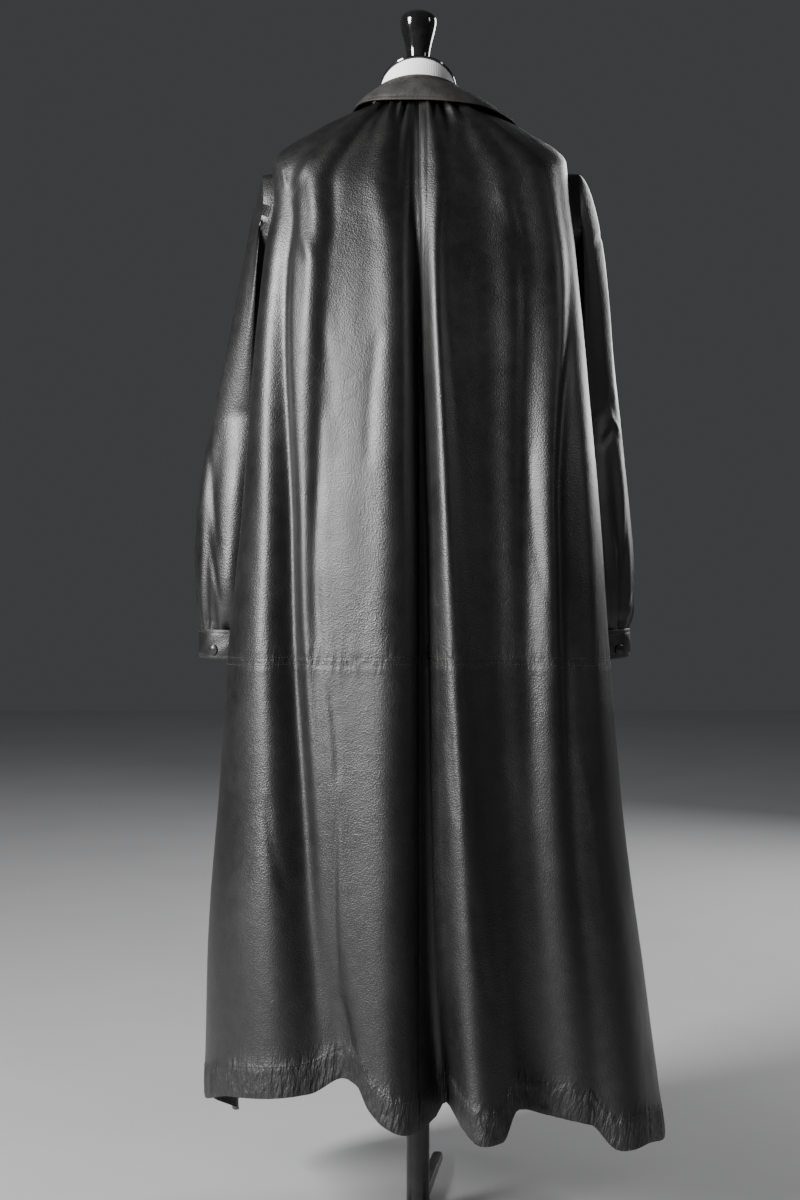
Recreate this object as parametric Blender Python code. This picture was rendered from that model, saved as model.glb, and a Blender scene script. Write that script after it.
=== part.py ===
"""Leather coat hanging on a dress form, as closed solids at real size.

Metres, +Z up. The coat's back faces -Y, its wearer's left is -X, and the form's
pole stands on the origin. The coat's body is one flared tube of cloth, drawn
through the rings of RINGS and shaped by the rows of FOLDS. A place on it has
an angle (0 at the centre back, 90 at the right side, 180 at the centre front)
and a station (a row of RINGS, counted from the neck).
"""
import math
from collections import namedtuple

import bmesh
import bpy
import numpy as np
from mathutils import Vector
from mathutils.bvhtree import BVHTree

# Cloth and seams
WALL = 0.0016
CUFF_WALL = 0.0026
SEAM = 0.0003
LAP = WALL + 0.0007
SQUARENESS = 0.10

# Rings of the body: heights at the back, sides and front, half widths to the left and
# right, depths behind and before the pole, the line where the ring is widest, and how
# far its sides are drawn in behind the sleeves
Ring = namedtuple("Ring", "name back_z side_z front_z left right back widest front tuck")
RINGS = (
    Ring("neck", 1.404, 1.400, 1.350, 0.064, 0.066, 0.068, 0.000, 0.076, 0.000),
    Ring("yoke", 1.348, 1.374, 1.300, 0.126, 0.130, 0.104, 0.000, 0.108, 0.000),
    Ring("shoulder", 1.270, 1.329, 1.235, 0.184, 0.186, 0.134, -0.012, 0.134, 0.006),
    Ring("cap", 1.222, 1.282, 1.195, 0.181, 0.188, 0.147, -0.030, 0.142, 0.020),
    Ring("blade", 1.165, 1.205, 1.150, 0.192, 0.195, 0.160, -0.045, 0.150, 0.044),
    Ring("armpit", 1.050, 1.055, 1.045, 0.206, 0.208, 0.176, -0.050, 0.165, 0.066),
    Ring("elbow", 0.880, 0.880, 0.880, 0.219, 0.224, 0.190, -0.050, 0.176, 0.074),
    Ring("hip", 0.716, 0.709, 0.709, 0.236, 0.236, 0.202, -0.044, 0.186, 0.066),
    Ring("thigh", 0.535, 0.530, 0.525, 0.248, 0.252, 0.214, -0.030, 0.196, 0.020),
    Ring("calf", 0.345, 0.330, 0.325, 0.262, 0.280, 0.224, -0.020, 0.204, 0.000),
    Ring("hem", 0.172, 0.140, 0.125, 0.266, 0.306, 0.230, -0.015, 0.210, 0.000),
)
NECK, YOKE, SHOULDER, CAP, BLADE, ARMPIT, ELBOW, HIP, THIGH, CALF, HEM = range(len(RINGS))

# How far the hem hangs below or above its ring, by place across
HemDrop = namedtuple("HemDrop", "across drop")
HEM_DROPS = (
    HemDrop(-2.00, 0.000), HemDrop(-1.60, -0.010), HemDrop(-1.35, -0.034),
    HemDrop(-1.10, 0.000), HemDrop(-1.00, 0.029), HemDrop(-0.84, 0.047),
    HemDrop(-0.50, 0.048), HemDrop(-0.35, 0.063), HemDrop(-0.28, 0.058),
    HemDrop(-0.22, 0.033), HemDrop(-0.15, 0.017), HemDrop(-0.05, 0.008),
    HemDrop(0.06, 0.014), HemDrop(0.10, 0.030), HemDrop(0.16, 0.009),
    HemDrop(0.22, -0.003), HemDrop(0.31, 0.000), HemDrop(0.37, 0.032),
    HemDrop(0.50, 0.021), HemDrop(0.67, 0.014), HemDrop(0.75, -0.012),
    HemDrop(0.85, -0.006), HemDrop(1.00, -0.016), HemDrop(1.40, -0.012),
    HemDrop(2.00, 0.000),
)

# Folds of the body: place across (0 centre back, 1 right side, 2 centre front, left is
# negative), half width across, and height in millimetres (valleys negative), at the
# neck, blade, elbow, calf and hem
FOLD_STATIONS = (NECK, BLADE, ELBOW, CALF, HEM)
Fold = namedtuple("Fold", "name across width height")
FOLDS = (
    Fold("centre valley", (-0.05, -0.012, 0.02, 0.05, 0.09), (0.08, 0.050, 0.06, 0.08, 0.07),
         (-3, -17, -24, -30, -42)),
    Fold("left centre ridge", (-0.36, -0.17, -0.15, -0.13, -0.10), (0.10, 0.10, 0.12, 0.13, 0.12),
         (3, 6, 8, 12, 20)),
    Fold("left inner crease", (-0.56, -0.58, -0.57, -0.39, -0.33), (0.05, 0.04, 0.04, 0.05, 0.06),
         (-4, -1, -3, -4, -10)),
    Fold("left broad hollow", (-0.50, -0.52, -0.56, -0.36, -0.33), (0.14, 0.16, 0.17, 0.16, 0.12),
         (0, -4, -9, -8, -4)),
    Fold("left valley", (-0.85, -0.87, -0.745, -0.51, -0.44), (0.08, 0.065, 0.065, 0.10, 0.13),
         (-2, -12, -20, -24, -22)),
    Fold("left shoulder ridge", (-0.70, -0.66, -0.60, -0.40, -0.30), (0.08, 0.07, 0.08, 0.10, 0.10),
         (3, 6, 2, 0, 0)),
    Fold("right centre ridge", (0.16, 0.10, 0.145, 0.23, 0.24), (0.06, 0.045, 0.055, 0.08, 0.10),
         (2, 6, 9, 12, 20)),
    Fold("right broad valley", (0.40, 0.42, 0.40, 0.44, 0.50), (0.10, 0.16, 0.16, 0.13, 0.13),
         (-4, -11, -17, -24, -30)),
    Fold("right valley lip", (0.60, 0.67, 0.58, 0.55, 0.55), (0.08, 0.08, 0.07, 0.07, 0.07),
         (0, -7, -10, -7, 0)),
    Fold("right ridge", (0.70, 0.84, 0.69, 0.62, 0.64), (0.08, 0.08, 0.06, 0.08, 0.08),
         (3, 6, 6, 0, 0)),
    Fold("right side crease", (0.90, 0.93, 0.735, 0.70, 0.70), (0.04, 0.04, 0.03, 0.05, 0.06),
         (0, -2, -5, -6, -10)),
    Fold("right side ridge", (0.95, 0.97, 0.88, 0.82, 0.80), (0.06, 0.06, 0.07, 0.10, 0.10),
         (0, 0, 5, 10, 16)),
    Fold("left front lobe", (-1.55, -1.60, -1.58, -1.52, -1.50), (0.08, 0.10, 0.10, 0.12, 0.14),
         (2, 6, 10, 14, 20)),
    Fold("left front valley", (-1.72, -1.76, -1.74, -1.70, -1.70), (0.06, 0.07, 0.07, 0.08, 0.09),
         (-2, -8, -14, -20, -26)),
    Fold("left side valley", (-1.20, -1.20, -1.20, -1.20, -1.22), (0.08, 0.08, 0.08, 0.08, 0.10),
         (0, 0, 0, -14, -26)),
    Fold("right front lobe", (1.55, 1.58, 1.56, 1.54, 1.50), (0.08, 0.10, 0.10, 0.12, 0.14),
         (2, 6, 9, 14, 18)),
    Fold("right front valley", (1.70, 1.74, 1.72, 1.70, 1.68), (0.06, 0.07, 0.07, 0.08, 0.09),
         (-2, -7, -14, -18, -24)),
    Fold("right side valley", (1.20, 1.20, 1.20, 1.20, 1.24), (0.08, 0.08, 0.08, 0.08, 0.10),
         (0, 0, 0, -12, -24)),
)

# Side seam and shoulder seam, and the armhole: how far it opens behind and before that
# seam, in degrees, at each station
SEAM_ANGLE = 113.0
Armhole = namedtuple("Armhole", "station back front")
ARMHOLE = (
    Armhole(1.86, 0.0, 0.0),
    Armhole(2.06, 14.0, 7.0),
    Armhole(2.40, 27.0, 10.5),
    Armhole(2.90, 29.0, 13.0),
    Armhole(3.30, 28.0, 14.5),
    Armhole(3.65, 23.0, 15.0),
    Armhole(4.05, 18.0, 15.0),
    Armhole(4.45, 13.5, 14.0),
    Armhole(4.75, 9.0, 11.0),
    Armhole(4.92, 5.5, 6.5),
    Armhole(5.00, 0.0, 0.0),
)
ARMHOLE_INSET = 0.25
ARMHOLE_TIP_INSET = 0.06
SLEEVE_COUNT = 2 * (len(ARMHOLE) - 1)
TUCK_ANGLE = 113.0
TUCK_FLAT = 9.0
TUCK_EDGE = 15.0
LAP_ANGLE = 6.0
LAP_START = 12.0

# Sleeves: height, outer reach to the left and right, inner reach, middle and half depth
SleeveRing = namedtuple("SleeveRing", "name z left right inner middle depth")
SLEEVE_RINGS = (
    SleeveRing("underarm", 1.015, 0.270, 0.264, 0.152, 0.066, 0.058),
    SleeveRing("elbow", 0.900, 0.289, 0.277, 0.158, 0.062, 0.064),
    SleeveRing("forearm", 0.815, 0.291, 0.283, 0.170, 0.060, 0.064),
    SleeveRing("gathers", 0.770, 0.289, 0.283, 0.176, 0.060, 0.058),
    SleeveRing("wrist", 0.742, 0.284, 0.276, 0.188, 0.060, 0.048),
)
SLEEVE_ROOT_LIFT = (0.0125, 0.0120)
SLEEVE_FULLNESS = {-1: 0.003, 1: 0.020}
SLEEVE_INNER_FULLNESS = 0.010
CUFF_TOP = 0.742
CUFF_FOOT = 0.704
CUFF_FLARE = 0.0015

# Folds round a sleeve: angle from the outside towards the back, half width in degrees,
# and height in millimetres at the armhole, elbow and wrist
SleeveFold = namedtuple("SleeveFold", "angle width armhole elbow wrist")
SLEEVE_FOLDS = (
    SleeveFold(-150.0, 14.0, 0.0, 3.0, -3.0),
    SleeveFold(-110.0, 14.0, 0.0, -5.0, -4.0),
    SleeveFold(-62.0, 14.0, 0.0, -5.0, -4.0),
    SleeveFold(-24.0, 12.0, 0.0, 3.0, 3.0),
    SleeveFold(14.0, 13.0, 0.0, -3.0, -4.0),
    SleeveFold(48.0, 15.0, 0.0, -6.0, -5.0),
    SleeveFold(84.0, 12.0, 0.0, 3.0, 3.0),
    SleeveFold(118.0, 13.0, 0.0, -4.0, -4.0),
)

# Collar by angle: the fold's distance from the pole, its rise above the neck seam, the
# station where the fall ends, and how far it stands off the coat there
CollarRow = namedtuple("CollarRow", "angle reach stand edge lift")
COLLAR_ROWS = (
    CollarRow(-172.0, 0.078, 0.016, 1.25, 0.005),
    CollarRow(-150.0, 0.074, 0.018, 1.20, 0.005),
    CollarRow(-120.0, 0.062, 0.020, 0.80, 0.005),
    CollarRow(-90.0, 0.054, 0.021, 0.34, 0.004),
    CollarRow(-45.0, 0.056, 0.026, 0.24, 0.007),
    CollarRow(0.0, 0.060, 0.028, 0.24, 0.009),
    CollarRow(45.0, 0.057, 0.026, 0.40, 0.008),
    CollarRow(90.0, 0.055, 0.021, 0.92, 0.005),
    CollarRow(120.0, 0.062, 0.020, 1.00, 0.005),
    CollarRow(150.0, 0.074, 0.018, 1.20, 0.005),
    CollarRow(172.0, 0.078, 0.016, 1.25, 0.005),
)
COLLAR_FOLD_RADIUS = 0.0035
COLLAR_CROWN = 0.003
COLLAR_SIDES = 44

# Buttons
BUTTON_RADIUS = 0.0095
CUFF_BUTTON_RADIUS = 0.0070
BUTTON_THICK = 0.0035
FRONT_BUTTON_HEIGHTS = (1.215, 1.075, 0.935, 0.795, 0.640, 0.490)

# Dress form: height, half width, half depth and middle of each section
FormRow = namedtuple("FormRow", "name z wide deep middle")
FORM_ROWS = (
    FormRow("foot", 0.735, 0.120, 0.086, 0.004),
    FormRow("hip", 0.790, 0.132, 0.094, 0.004),
    FormRow("upper hip", 0.900, 0.124, 0.088, 0.004),
    FormRow("waist", 1.000, 0.106, 0.078, 0.004),
    FormRow("ribs", 1.100, 0.120, 0.090, 0.006),
    FormRow("bust", 1.185, 0.136, 0.104, 0.008),
    FormRow("chest", 1.268, 0.150, 0.096, 0.004),
    FormRow("shoulder", 1.322, 0.158, 0.076, 0.004),
    FormRow("shoulder top", 1.352, 0.144, 0.058, 0.004),
    FormRow("slope", 1.374, 0.106, 0.052, 0.004),
    FormRow("neck root", 1.392, 0.064, 0.050, 0.002),
    FormRow("neck", 1.402, 0.0475, 0.0475, 0.000),
)
FORM_SIDES = 32
NECK_TOP = 1.422
NECK_SLANT = 0.65
CAP_THICK = 0.003
CAP_OVERHANG = 0.0012
POLE_RADIUS = 0.0146
KNOB_SIDES = 28
KnobRow = namedtuple("KnobRow", "rise radius")
KNOB_ROWS = (
    KnobRow(0.000, 0.0140),
    KnobRow(0.044, 0.0145),
    KnobRow(0.056, 0.0165),
    KnobRow(0.070, 0.0205),
    KnobRow(0.082, 0.0234),
    KnobRow(0.087, 0.0236),
    KnobRow(0.092, 0.0220),
    KnobRow(0.097, 0.0160),
    KnobRow(0.100, 0.0070),
)
LEG_AZIMUTHS = (82.0, 202.0, 322.0)
LEG_REACH = 0.215
LEG_WIDTH = 0.014
LEG_HEIGHT = 0.016
LEG_TIP_HEIGHT = 0.009
REST_GAP = 0.0005

# Materials: colour, roughness and metallic value
LEATHER = ("black_leather", (0.022, 0.021, 0.020), 0.42, 0.0)
LEATHER_TRIM = ("black_leather_trim", (0.028, 0.026, 0.024), 0.55, 0.0)
BUTTON_BLACK = ("button_black", (0.012, 0.012, 0.012), 0.25, 0.0)
FORM_WHITE = ("form_white", (0.80, 0.80, 0.78), 0.70, 0.0)
GLOSS_BLACK = ("gloss_black", (0.008, 0.008, 0.008), 0.15, 0.0)
STEEL_BLACK = ("steel_black", (0.015, 0.015, 0.015), 0.40, 0.6)


def clear_scene():
    """Remove whatever the file holds."""
    for item in list(bpy.data.objects):
        bpy.data.objects.remove(item, do_unlink=True)


def material(finish):
    """Return the material of one finish, made on first use."""
    name, colour, roughness, metallic = finish
    found = bpy.data.materials.get(name)
    if found:
        return found
    made = bpy.data.materials.new(name)
    made.use_nodes = True
    shader = made.node_tree.nodes["Principled BSDF"]
    shader.inputs["Base Color"].default_value = (*colour, 1.0)
    shader.inputs["Roughness"].default_value = roughness
    shader.inputs["Metallic"].default_value = metallic
    return made


def smooth(knots, values, at):
    """Monotone cubic curve through values at the given knots."""
    knots = np.asarray(knots, float)
    values = np.asarray(values, float)
    at = np.clip(np.asarray(at, float), knots[0], knots[-1])
    step = np.diff(knots)
    slope = np.diff(values) / step
    tangent = np.empty_like(values)
    tangent[0], tangent[-1] = slope[0], slope[-1]
    before, after = slope[:-1], slope[1:]
    same_way = before * after > 0.0
    total = np.where(same_way, before + after, 1.0)
    tangent[1:-1] = np.where(same_way, 2.0 * before * after / total, 0.0)
    left = np.clip(np.searchsorted(knots, at, side="right") - 1, 0, len(step) - 1)
    width = step[left]
    t = (at - knots[left]) / width
    start, end = values[left], values[left + 1]
    rise_in, rise_out = tangent[left] * width, tangent[left + 1] * width
    return (start * (2 * t**3 - 3 * t**2 + 1) + rise_in * (t**3 - 2 * t**2 + t)
            + end * (3 * t**2 - 2 * t**3) + rise_out * (t**3 - t**2))


def ease(t):
    """Smooth step from 0 to 1."""
    t = np.clip(t, 0.0, 1.0)
    return t * t * (3.0 - 2.0 * t)


def column(rows, name):
    """Return one named column of a table."""
    return [getattr(row, name) for row in rows]


def wrapped(angle):
    """Bring an angle in degrees to -180..180."""
    return (np.asarray(angle, float) + 180.0) % 360.0 - 180.0


def across(angle):
    """Place across the body: 0 centre back, 1 or -1 side, 2 or -2 centre front."""
    turn = np.radians(np.abs(angle))
    corner = 1.0 + SQUARENESS * np.sin(2.0 * turn)**2
    behind = np.sin(turn) * corner
    before = 1.0 + (np.abs(angle) - 90.0) / 90.0
    return np.sign(angle) * np.where(np.abs(angle) <= 90.0, behind, before)


def body_plan(angle, station):
    """Place on the body's plain ring, without folds, as arrays x, y and z."""
    angle = wrapped(angle)
    ring = {name: smooth(range(len(RINGS)), column(RINGS, name), station)
            for name in Ring._fields[1:]}
    turn = np.radians(np.abs(angle))
    half = np.where(angle < 0.0, ring["left"], ring["right"])
    corner = 1.0 + SQUARENESS * np.sin(2.0 * turn)**2
    x = half * np.sin(turn) * corner
    depth = np.where(np.cos(turn) > 0.0, ring["back"] + ring["widest"],
                     ring["front"] - ring["widest"])
    y = ring["widest"] - depth * np.cos(turn) * corner
    off = np.abs(np.abs(angle) - TUCK_ANGLE)
    x = x - ring["tuck"] * ease(1.0 - (off - TUCK_FLAT) / TUCK_EDGE)
    sideways = np.sin(turn)**2
    ends = np.where(np.cos(turn) > 0.0, ring["back_z"], ring["front_z"])
    z = ends * (1.0 - sideways) + ring["side_z"] * sideways
    drop = smooth(column(HEM_DROPS, "across"), column(HEM_DROPS, "drop"), across(angle))
    z = z + drop * ease((station - HIP) / (HEM - HIP))
    return np.stack((np.sign(angle) * x, y, z), axis=-1)


def fold_height(angle, station):
    """Height of all folds together at a place on the body."""
    place = across(wrapped(angle))
    total = np.zeros_like(place)
    for fold in FOLDS:
        centre = smooth(FOLD_STATIONS, fold.across, station)
        width = smooth(FOLD_STATIONS, fold.width, station)
        height = smooth(FOLD_STATIONS, fold.height, station) * 0.001
        total = total + height * np.exp(-((place - centre) / width)**2)
    return total


def body(angle, station, lift=0.0):
    """Place on the folded body; lift moves it outwards."""
    angle, station = np.broadcast_arrays(np.asarray(angle, float), np.asarray(station, float))
    step = 0.5
    place = body_plan(angle, station)
    along = body_plan(angle + step, station) - body_plan(angle - step, station)
    outward = np.stack((along[..., 1], -along[..., 0], np.zeros_like(angle)), axis=-1)
    outward /= np.linalg.norm(outward, axis=-1, keepdims=True)
    raised = fold_height(angle, station) + lift
    return place + outward * raised[..., None]


def body_normal(angle, station):
    """Direction out of the folded body."""
    turn, slide = 0.4, 0.02
    along = body(angle + turn, station) - body(angle - turn, station)
    down = body(angle, station + slide) - body(angle, station - slide)
    out = np.cross(down, along)
    return out / np.linalg.norm(out, axis=-1, keepdims=True)


def plain_normal(angle, station):
    """Direction out of the body's plain rings."""
    turn, slide = 2.0, 0.05
    along = body_plan(angle + turn, station) - body_plan(angle - turn, station)
    down = body_plan(angle, station + slide) - body_plan(angle, station - slide)
    out = np.cross(down, along)
    return out / np.linalg.norm(out, axis=-1, keepdims=True)


def grid_normals(points, closed):
    """Directions out of a grid of points, rows down and columns round."""
    down = np.gradient(points, axis=0)
    if closed:
        along = np.roll(points, -1, axis=1) - np.roll(points, 1, axis=1)
    else:
        along = np.gradient(points, axis=1)
    out = np.cross(down, along)
    return out / np.linalg.norm(out, axis=-1, keepdims=True)


def sheet(name, points, finish, wall=WALL, closed=False, normals=None):
    """Build a closed wall of cloth from rows of outer points and its thickness."""
    if normals is None:
        normals = grid_normals(points, closed)
    mesh = bmesh.new()
    outer = [[mesh.verts.new(point) for point in row] for row in points]
    inner = [[mesh.verts.new(point) for point in row] for row in points - normals * wall]
    count = len(outer[0])
    spans = [(here, (here + 1) % count) for here in range(count if closed else count - 1)]
    for row in range(len(outer) - 1):
        out_up, out_low = outer[row], outer[row + 1]
        in_up, in_low = inner[row], inner[row + 1]
        for here, beside in spans:
            mesh.faces.new((out_up[here], out_low[here], out_low[beside], out_up[beside]))
            mesh.faces.new((in_up[beside], in_low[beside], in_low[here], in_up[here]))
        if not closed:
            mesh.faces.new((out_low[0], out_up[0], in_up[0], in_low[0]))
            mesh.faces.new((out_up[-1], out_low[-1], in_low[-1], in_up[-1]))
    for here, beside in spans:
        mesh.faces.new((outer[0][here], outer[0][beside], inner[0][beside], inner[0][here]))
        mesh.faces.new((outer[-1][beside], outer[-1][here], inner[-1][here], inner[-1][beside]))
    return finished(name, mesh, finish)


def finished(name, mesh, finish, sharp=math.radians(50.0)):
    """Turn a bmesh into a named object with its material."""
    data = bpy.data.meshes.new(name)
    mesh.to_mesh(data)
    mesh.free()
    data.materials.append(material(finish))
    data.shade_smooth()
    data.set_sharp_from_angle(angle=sharp)
    made = bpy.data.objects.new(name, data)
    bpy.context.scene.collection.objects.link(made)
    return made


def lofted(name, rings, finish):
    """Close a stack of rings, listed from the bottom up, into a solid."""
    mesh = bmesh.new()
    loops = [[mesh.verts.new(point) for point in ring] for ring in rings]
    count = len(loops[0])
    for lower, upper in zip(loops, loops[1:]):
        for here in range(count):
            beside = (here + 1) % count
            mesh.faces.new((lower[here], lower[beside], upper[beside], upper[here]))
    mesh.faces.new(list(reversed(loops[0])))
    mesh.faces.new(loops[-1])
    return finished(name, mesh, finish)


def armhole_reach(side, station):
    """How far the armhole opens behind or before the seam, in degrees."""
    return np.interp(station, column(ARMHOLE, "station"), column(ARMHOLE, side))


def seam_half_angle(stations):
    """Half a seam's gap, in degrees round the body."""
    girth = smooth(range(len(RINGS)), column(RINGS, "right"), stations)
    return np.degrees(0.5 * SEAM / girth)


def spread(start, end, opening, count):
    """Angles from start to end for every station, drawn back near an armhole."""
    share = np.linspace(0.0, 1.0, count)
    plain = start[:, None] + (end - start)[:, None] * share[None, :]
    return plain - opening[:, None] * share[None, :]**2.5


def back_panel(name, side, stations, count):
    """Half of the back; side is 1 for the right and -1 for the left."""
    gap = seam_half_angle(stations)
    angles = spread(gap, SEAM_ANGLE - gap, armhole_reach("back", stations), count)
    if side < 0:
        angles = -angles[:, ::-1]
    grid = np.repeat(stations[:, None], count, axis=1)
    return sheet(name, body(angles, grid), LEATHER, normals=body_normal(angles, grid))


def front_panel(name, side, stations, count):
    """One front, lapped past the centre; the right one lies over the left."""
    gap = seam_half_angle(stations)
    centre = np.full_like(gap, 180.0 + LAP_ANGLE)
    angles = spread(centre, SEAM_ANGLE + gap, -armhole_reach("front", stations), count)[:, ::-1]
    lift = np.zeros_like(angles)
    if side > 0:
        lift = LAP * ease((angles - (180.0 - LAP_ANGLE - LAP_START)) / LAP_START)
    else:
        angles, lift = -angles[:, ::-1], lift[:, ::-1]
    grid = np.repeat(stations[:, None], count, axis=1)
    return sheet(name, body(angles, grid, lift), LEATHER, normals=body_normal(angles, grid))


def armhole_loop(side, lift):
    """Closed loop just inside an armhole: from its tip down the back, then up the front.

    Lift is how far it stands out of the body at the tip and at the armpit.
    """
    inner = ARMHOLE[1:-1]
    top = ARMHOLE[0].station + ARMHOLE_TIP_INSET
    foot = ARMHOLE[-1].station - ARMHOLE_TIP_INSET
    places = [(top, 0.0)]
    places += [(row.station, ARMHOLE_INSET - row.back) for row in inner]
    places += [(foot, 0.0)]
    places += [(row.station, row.front - ARMHOLE_INSET) for row in reversed(inner)]
    station = np.array([place[0] for place in places])
    angle = side * (SEAM_ANGLE + np.array([place[1] for place in places]))
    stand = lift[0] + (lift[1] - lift[0]) * ((station - top) / (foot - top))**2
    return body(angle, station) + body_normal(angle, station) * stand[:, None]


def sleeve_ring(side, station, count):
    """Ring of a hanging sleeve, starting at its outer side and going to the back."""
    stations = range(len(SLEEVE_RINGS))
    outer = smooth(stations, column(SLEEVE_RINGS, "left" if side < 0 else "right"), station)
    inner = smooth(stations, column(SLEEVE_RINGS, "inner"), station)
    middle = smooth(stations, column(SLEEVE_RINGS, "middle"), station)
    depth = smooth(stations, column(SLEEVE_RINGS, "depth"), station)
    height = smooth(stations, column(SLEEVE_RINGS, "z"), station)
    turn = np.linspace(0.0, 2.0 * math.pi, count, endpoint=False)
    x = 0.5 * (outer + inner) + 0.5 * (outer - inner) * np.cos(turn)
    y = middle - depth * np.sin(turn)
    ring = np.stack((side * x, y, np.full_like(x, float(height))), axis=-1)
    away = np.stack((side * np.cos(turn), -np.sin(turn), np.zeros_like(x)), axis=-1)
    last = len(SLEEVE_RINGS) - 1
    rise = np.zeros_like(x)
    for fold in SLEEVE_FOLDS:
        tall = smooth((0.0, 1.0, last - 0.5, last),
                      (fold.armhole, fold.elbow, fold.wrist, 0.0), station)
        off = wrapped(np.degrees(turn) - fold.angle)
        rise = rise + 0.001 * tall * np.exp(-(off / fold.width)**2)
    return ring + away * rise[:, None]


def sleeve(name, side):
    """A full sleeve, from the armhole to the top of the cuff."""
    first = sleeve_ring(side, 0.0, SLEEVE_COUNT)
    loop = armhole_loop(side, SLEEVE_ROOT_LIFT)
    rings = [armhole_loop(side, (-0.5 * WALL, -0.5 * WALL)), loop]
    turn = np.linspace(0.0, 2.0 * math.pi, SLEEVE_COUNT, endpoint=False)
    for share in (0.06, 0.16, 0.30, 0.47, 0.65, 0.83):
        outer = SLEEVE_FULLNESS[side] * math.sin(share**0.55 * math.pi)
        inner = SLEEVE_INNER_FULLNESS * math.sin(share**0.6 * math.pi)
        fullness = np.where(np.cos(turn) > 0.0, outer, inner) * np.cos(turn)
        puff = np.stack((side * fullness, np.zeros_like(turn), 0.4 * fullness), axis=-1)
        rings.append(loop + (first - loop) * share + puff)
    for station in np.arange(0.0, len(SLEEVE_RINGS) - 0.9, 0.5):
        rings.append(sleeve_ring(side, station, SLEEVE_COUNT))
    rings[-1][:, 2] = CUFF_TOP + SEAM
    return tube(name, rings, side, WALL)


def tube(name, rings, side, wall):
    """A closed sleeve-like wall; the left one is turned to keep its faces out."""
    points = [ring if side > 0 else ring[::-1] for ring in rings]
    return sheet(name, [row[::-1] for row in points], LEATHER, wall, closed=True)


def cuff(name, side):
    """A stiff band below the sleeve."""
    top = sleeve_ring(side, len(SLEEVE_RINGS) - 1, SLEEVE_COUNT)
    centre = top.mean(axis=0)
    rings = []
    for share in (0.0, 0.5, 1.0):
        ring = top.copy()
        away = ring - centre
        away[:, 2] = 0.0
        away /= np.linalg.norm(away, axis=1, keepdims=True)
        ring += away * CUFF_FLARE * math.sin(share * math.pi)
        ring[:, 2] = CUFF_TOP + (CUFF_FOOT - CUFF_TOP) * share
        rings.append(ring)
    return tube(name, rings, side, CUFF_WALL)


def collar(name):
    """A turn-down collar: stand up from the neck seam, over a soft fold, and down."""
    knots = column(COLLAR_ROWS, "angle")
    angles = np.linspace(knots[0], knots[-1], COLLAR_SIDES)
    reach, stand, edge, lift = (smooth(knots, column(COLLAR_ROWS, part), angles)
                                for part in CollarRow._fields[1:])
    turn = np.radians(angles)
    facing = np.stack((np.sin(turn), -np.cos(turn), np.zeros_like(turn)), axis=-1)
    upwards = np.array((0.0, 0.0, 1.0))
    root = body_plan(angles, np.full_like(angles, float(NECK)))
    root = root - facing * 0.5 * WALL + upwards * SEAM * 1.5
    fold = facing * reach[:, None] + upwards * (root[:, 2] + stand)[:, None]
    facing_out = plain_normal(angles, edge)
    end = body_plan(angles, edge) + facing_out * lift[:, None]
    arch = []
    for bend in (0.0, 60.0, 120.0, 180.0):
        swing = math.radians(bend)
        sideways = -COLLAR_FOLD_RADIUS * math.cos(swing)
        above = COLLAR_FOLD_RADIUS * (math.sin(swing) - 1.0)
        arch.append(fold + facing * sideways + upwards * above)
    waist = (root + arch[0]) * 0.5
    crown = (arch[-1] + end) * 0.5 + facing_out * COLLAR_CROWN
    return sheet(name, np.array([root, waist, *arch, crown, end]), LEATHER_TRIM)


def disc(name, centre, outward, radius, finish):
    """A domed round button, its flat back towards the cloth."""
    mesh = bmesh.new()
    bmesh.ops.create_cone(mesh, cap_ends=True, segments=16, radius1=radius,
                          radius2=radius * 0.80, depth=BUTTON_THICK)
    crown = [edge for edge in mesh.edges if all(vert.co.z > 0.0 for vert in edge.verts)]
    bmesh.ops.bevel(mesh, geom=crown, offset=BUTTON_THICK * 0.3, segments=1, affect="EDGES")
    made = finished(name, mesh, finish)
    made.rotation_mode = "QUATERNION"
    made.rotation_quaternion = Vector(outward).to_track_quat("Z", "Y")
    made.location = Vector(centre) + Vector(outward) * (BUTTON_THICK * 0.5)
    return made


def neck_cut(y):
    """Height of the neck's slanted top at a depth."""
    return NECK_TOP - NECK_SLANT * y


def form_rings():
    """Rings of the dress form, from its foot to the slanted neck top."""
    turn = np.linspace(0.0, 2.0 * math.pi, FORM_SIDES, endpoint=False)
    rings = []
    for row in FORM_ROWS:
        x = row.wide * np.cos(turn)
        y = row.middle + row.deep * np.sin(turn)
        rings.append(np.stack((x, y, np.full_like(x, row.z)), axis=-1))
    top = rings[-1].copy()
    top[:, 2] = neck_cut(top[:, 1])
    rings[-1][:, 2] = np.minimum(rings[-1][:, 2], top[:, 2] - 0.006)
    return rings + [top]


def resting_rise(form, cloth):
    """How far the form rises until it carries the cloth."""
    bpy.context.view_layer.update()
    depsgraph = bpy.context.evaluated_depsgraph_get()
    least = 1.0
    torso = BVHTree.FromObject(form, depsgraph)
    up = Vector((0.0, 0.0, 1.0))
    for piece in cloth:
        surface = BVHTree.FromObject(piece, depsgraph)
        for vertex in form.data.vertices:
            hit = surface.ray_cast(vertex.co, up)
            if hit[0] is not None:
                least = min(least, hit[3])
        shell = piece.evaluated_get(depsgraph).data
        for vertex in shell.vertices:
            hit = torso.ray_cast(vertex.co, -up)
            if hit[0] is not None:
                least = min(least, hit[3])
    return least - REST_GAP


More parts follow.
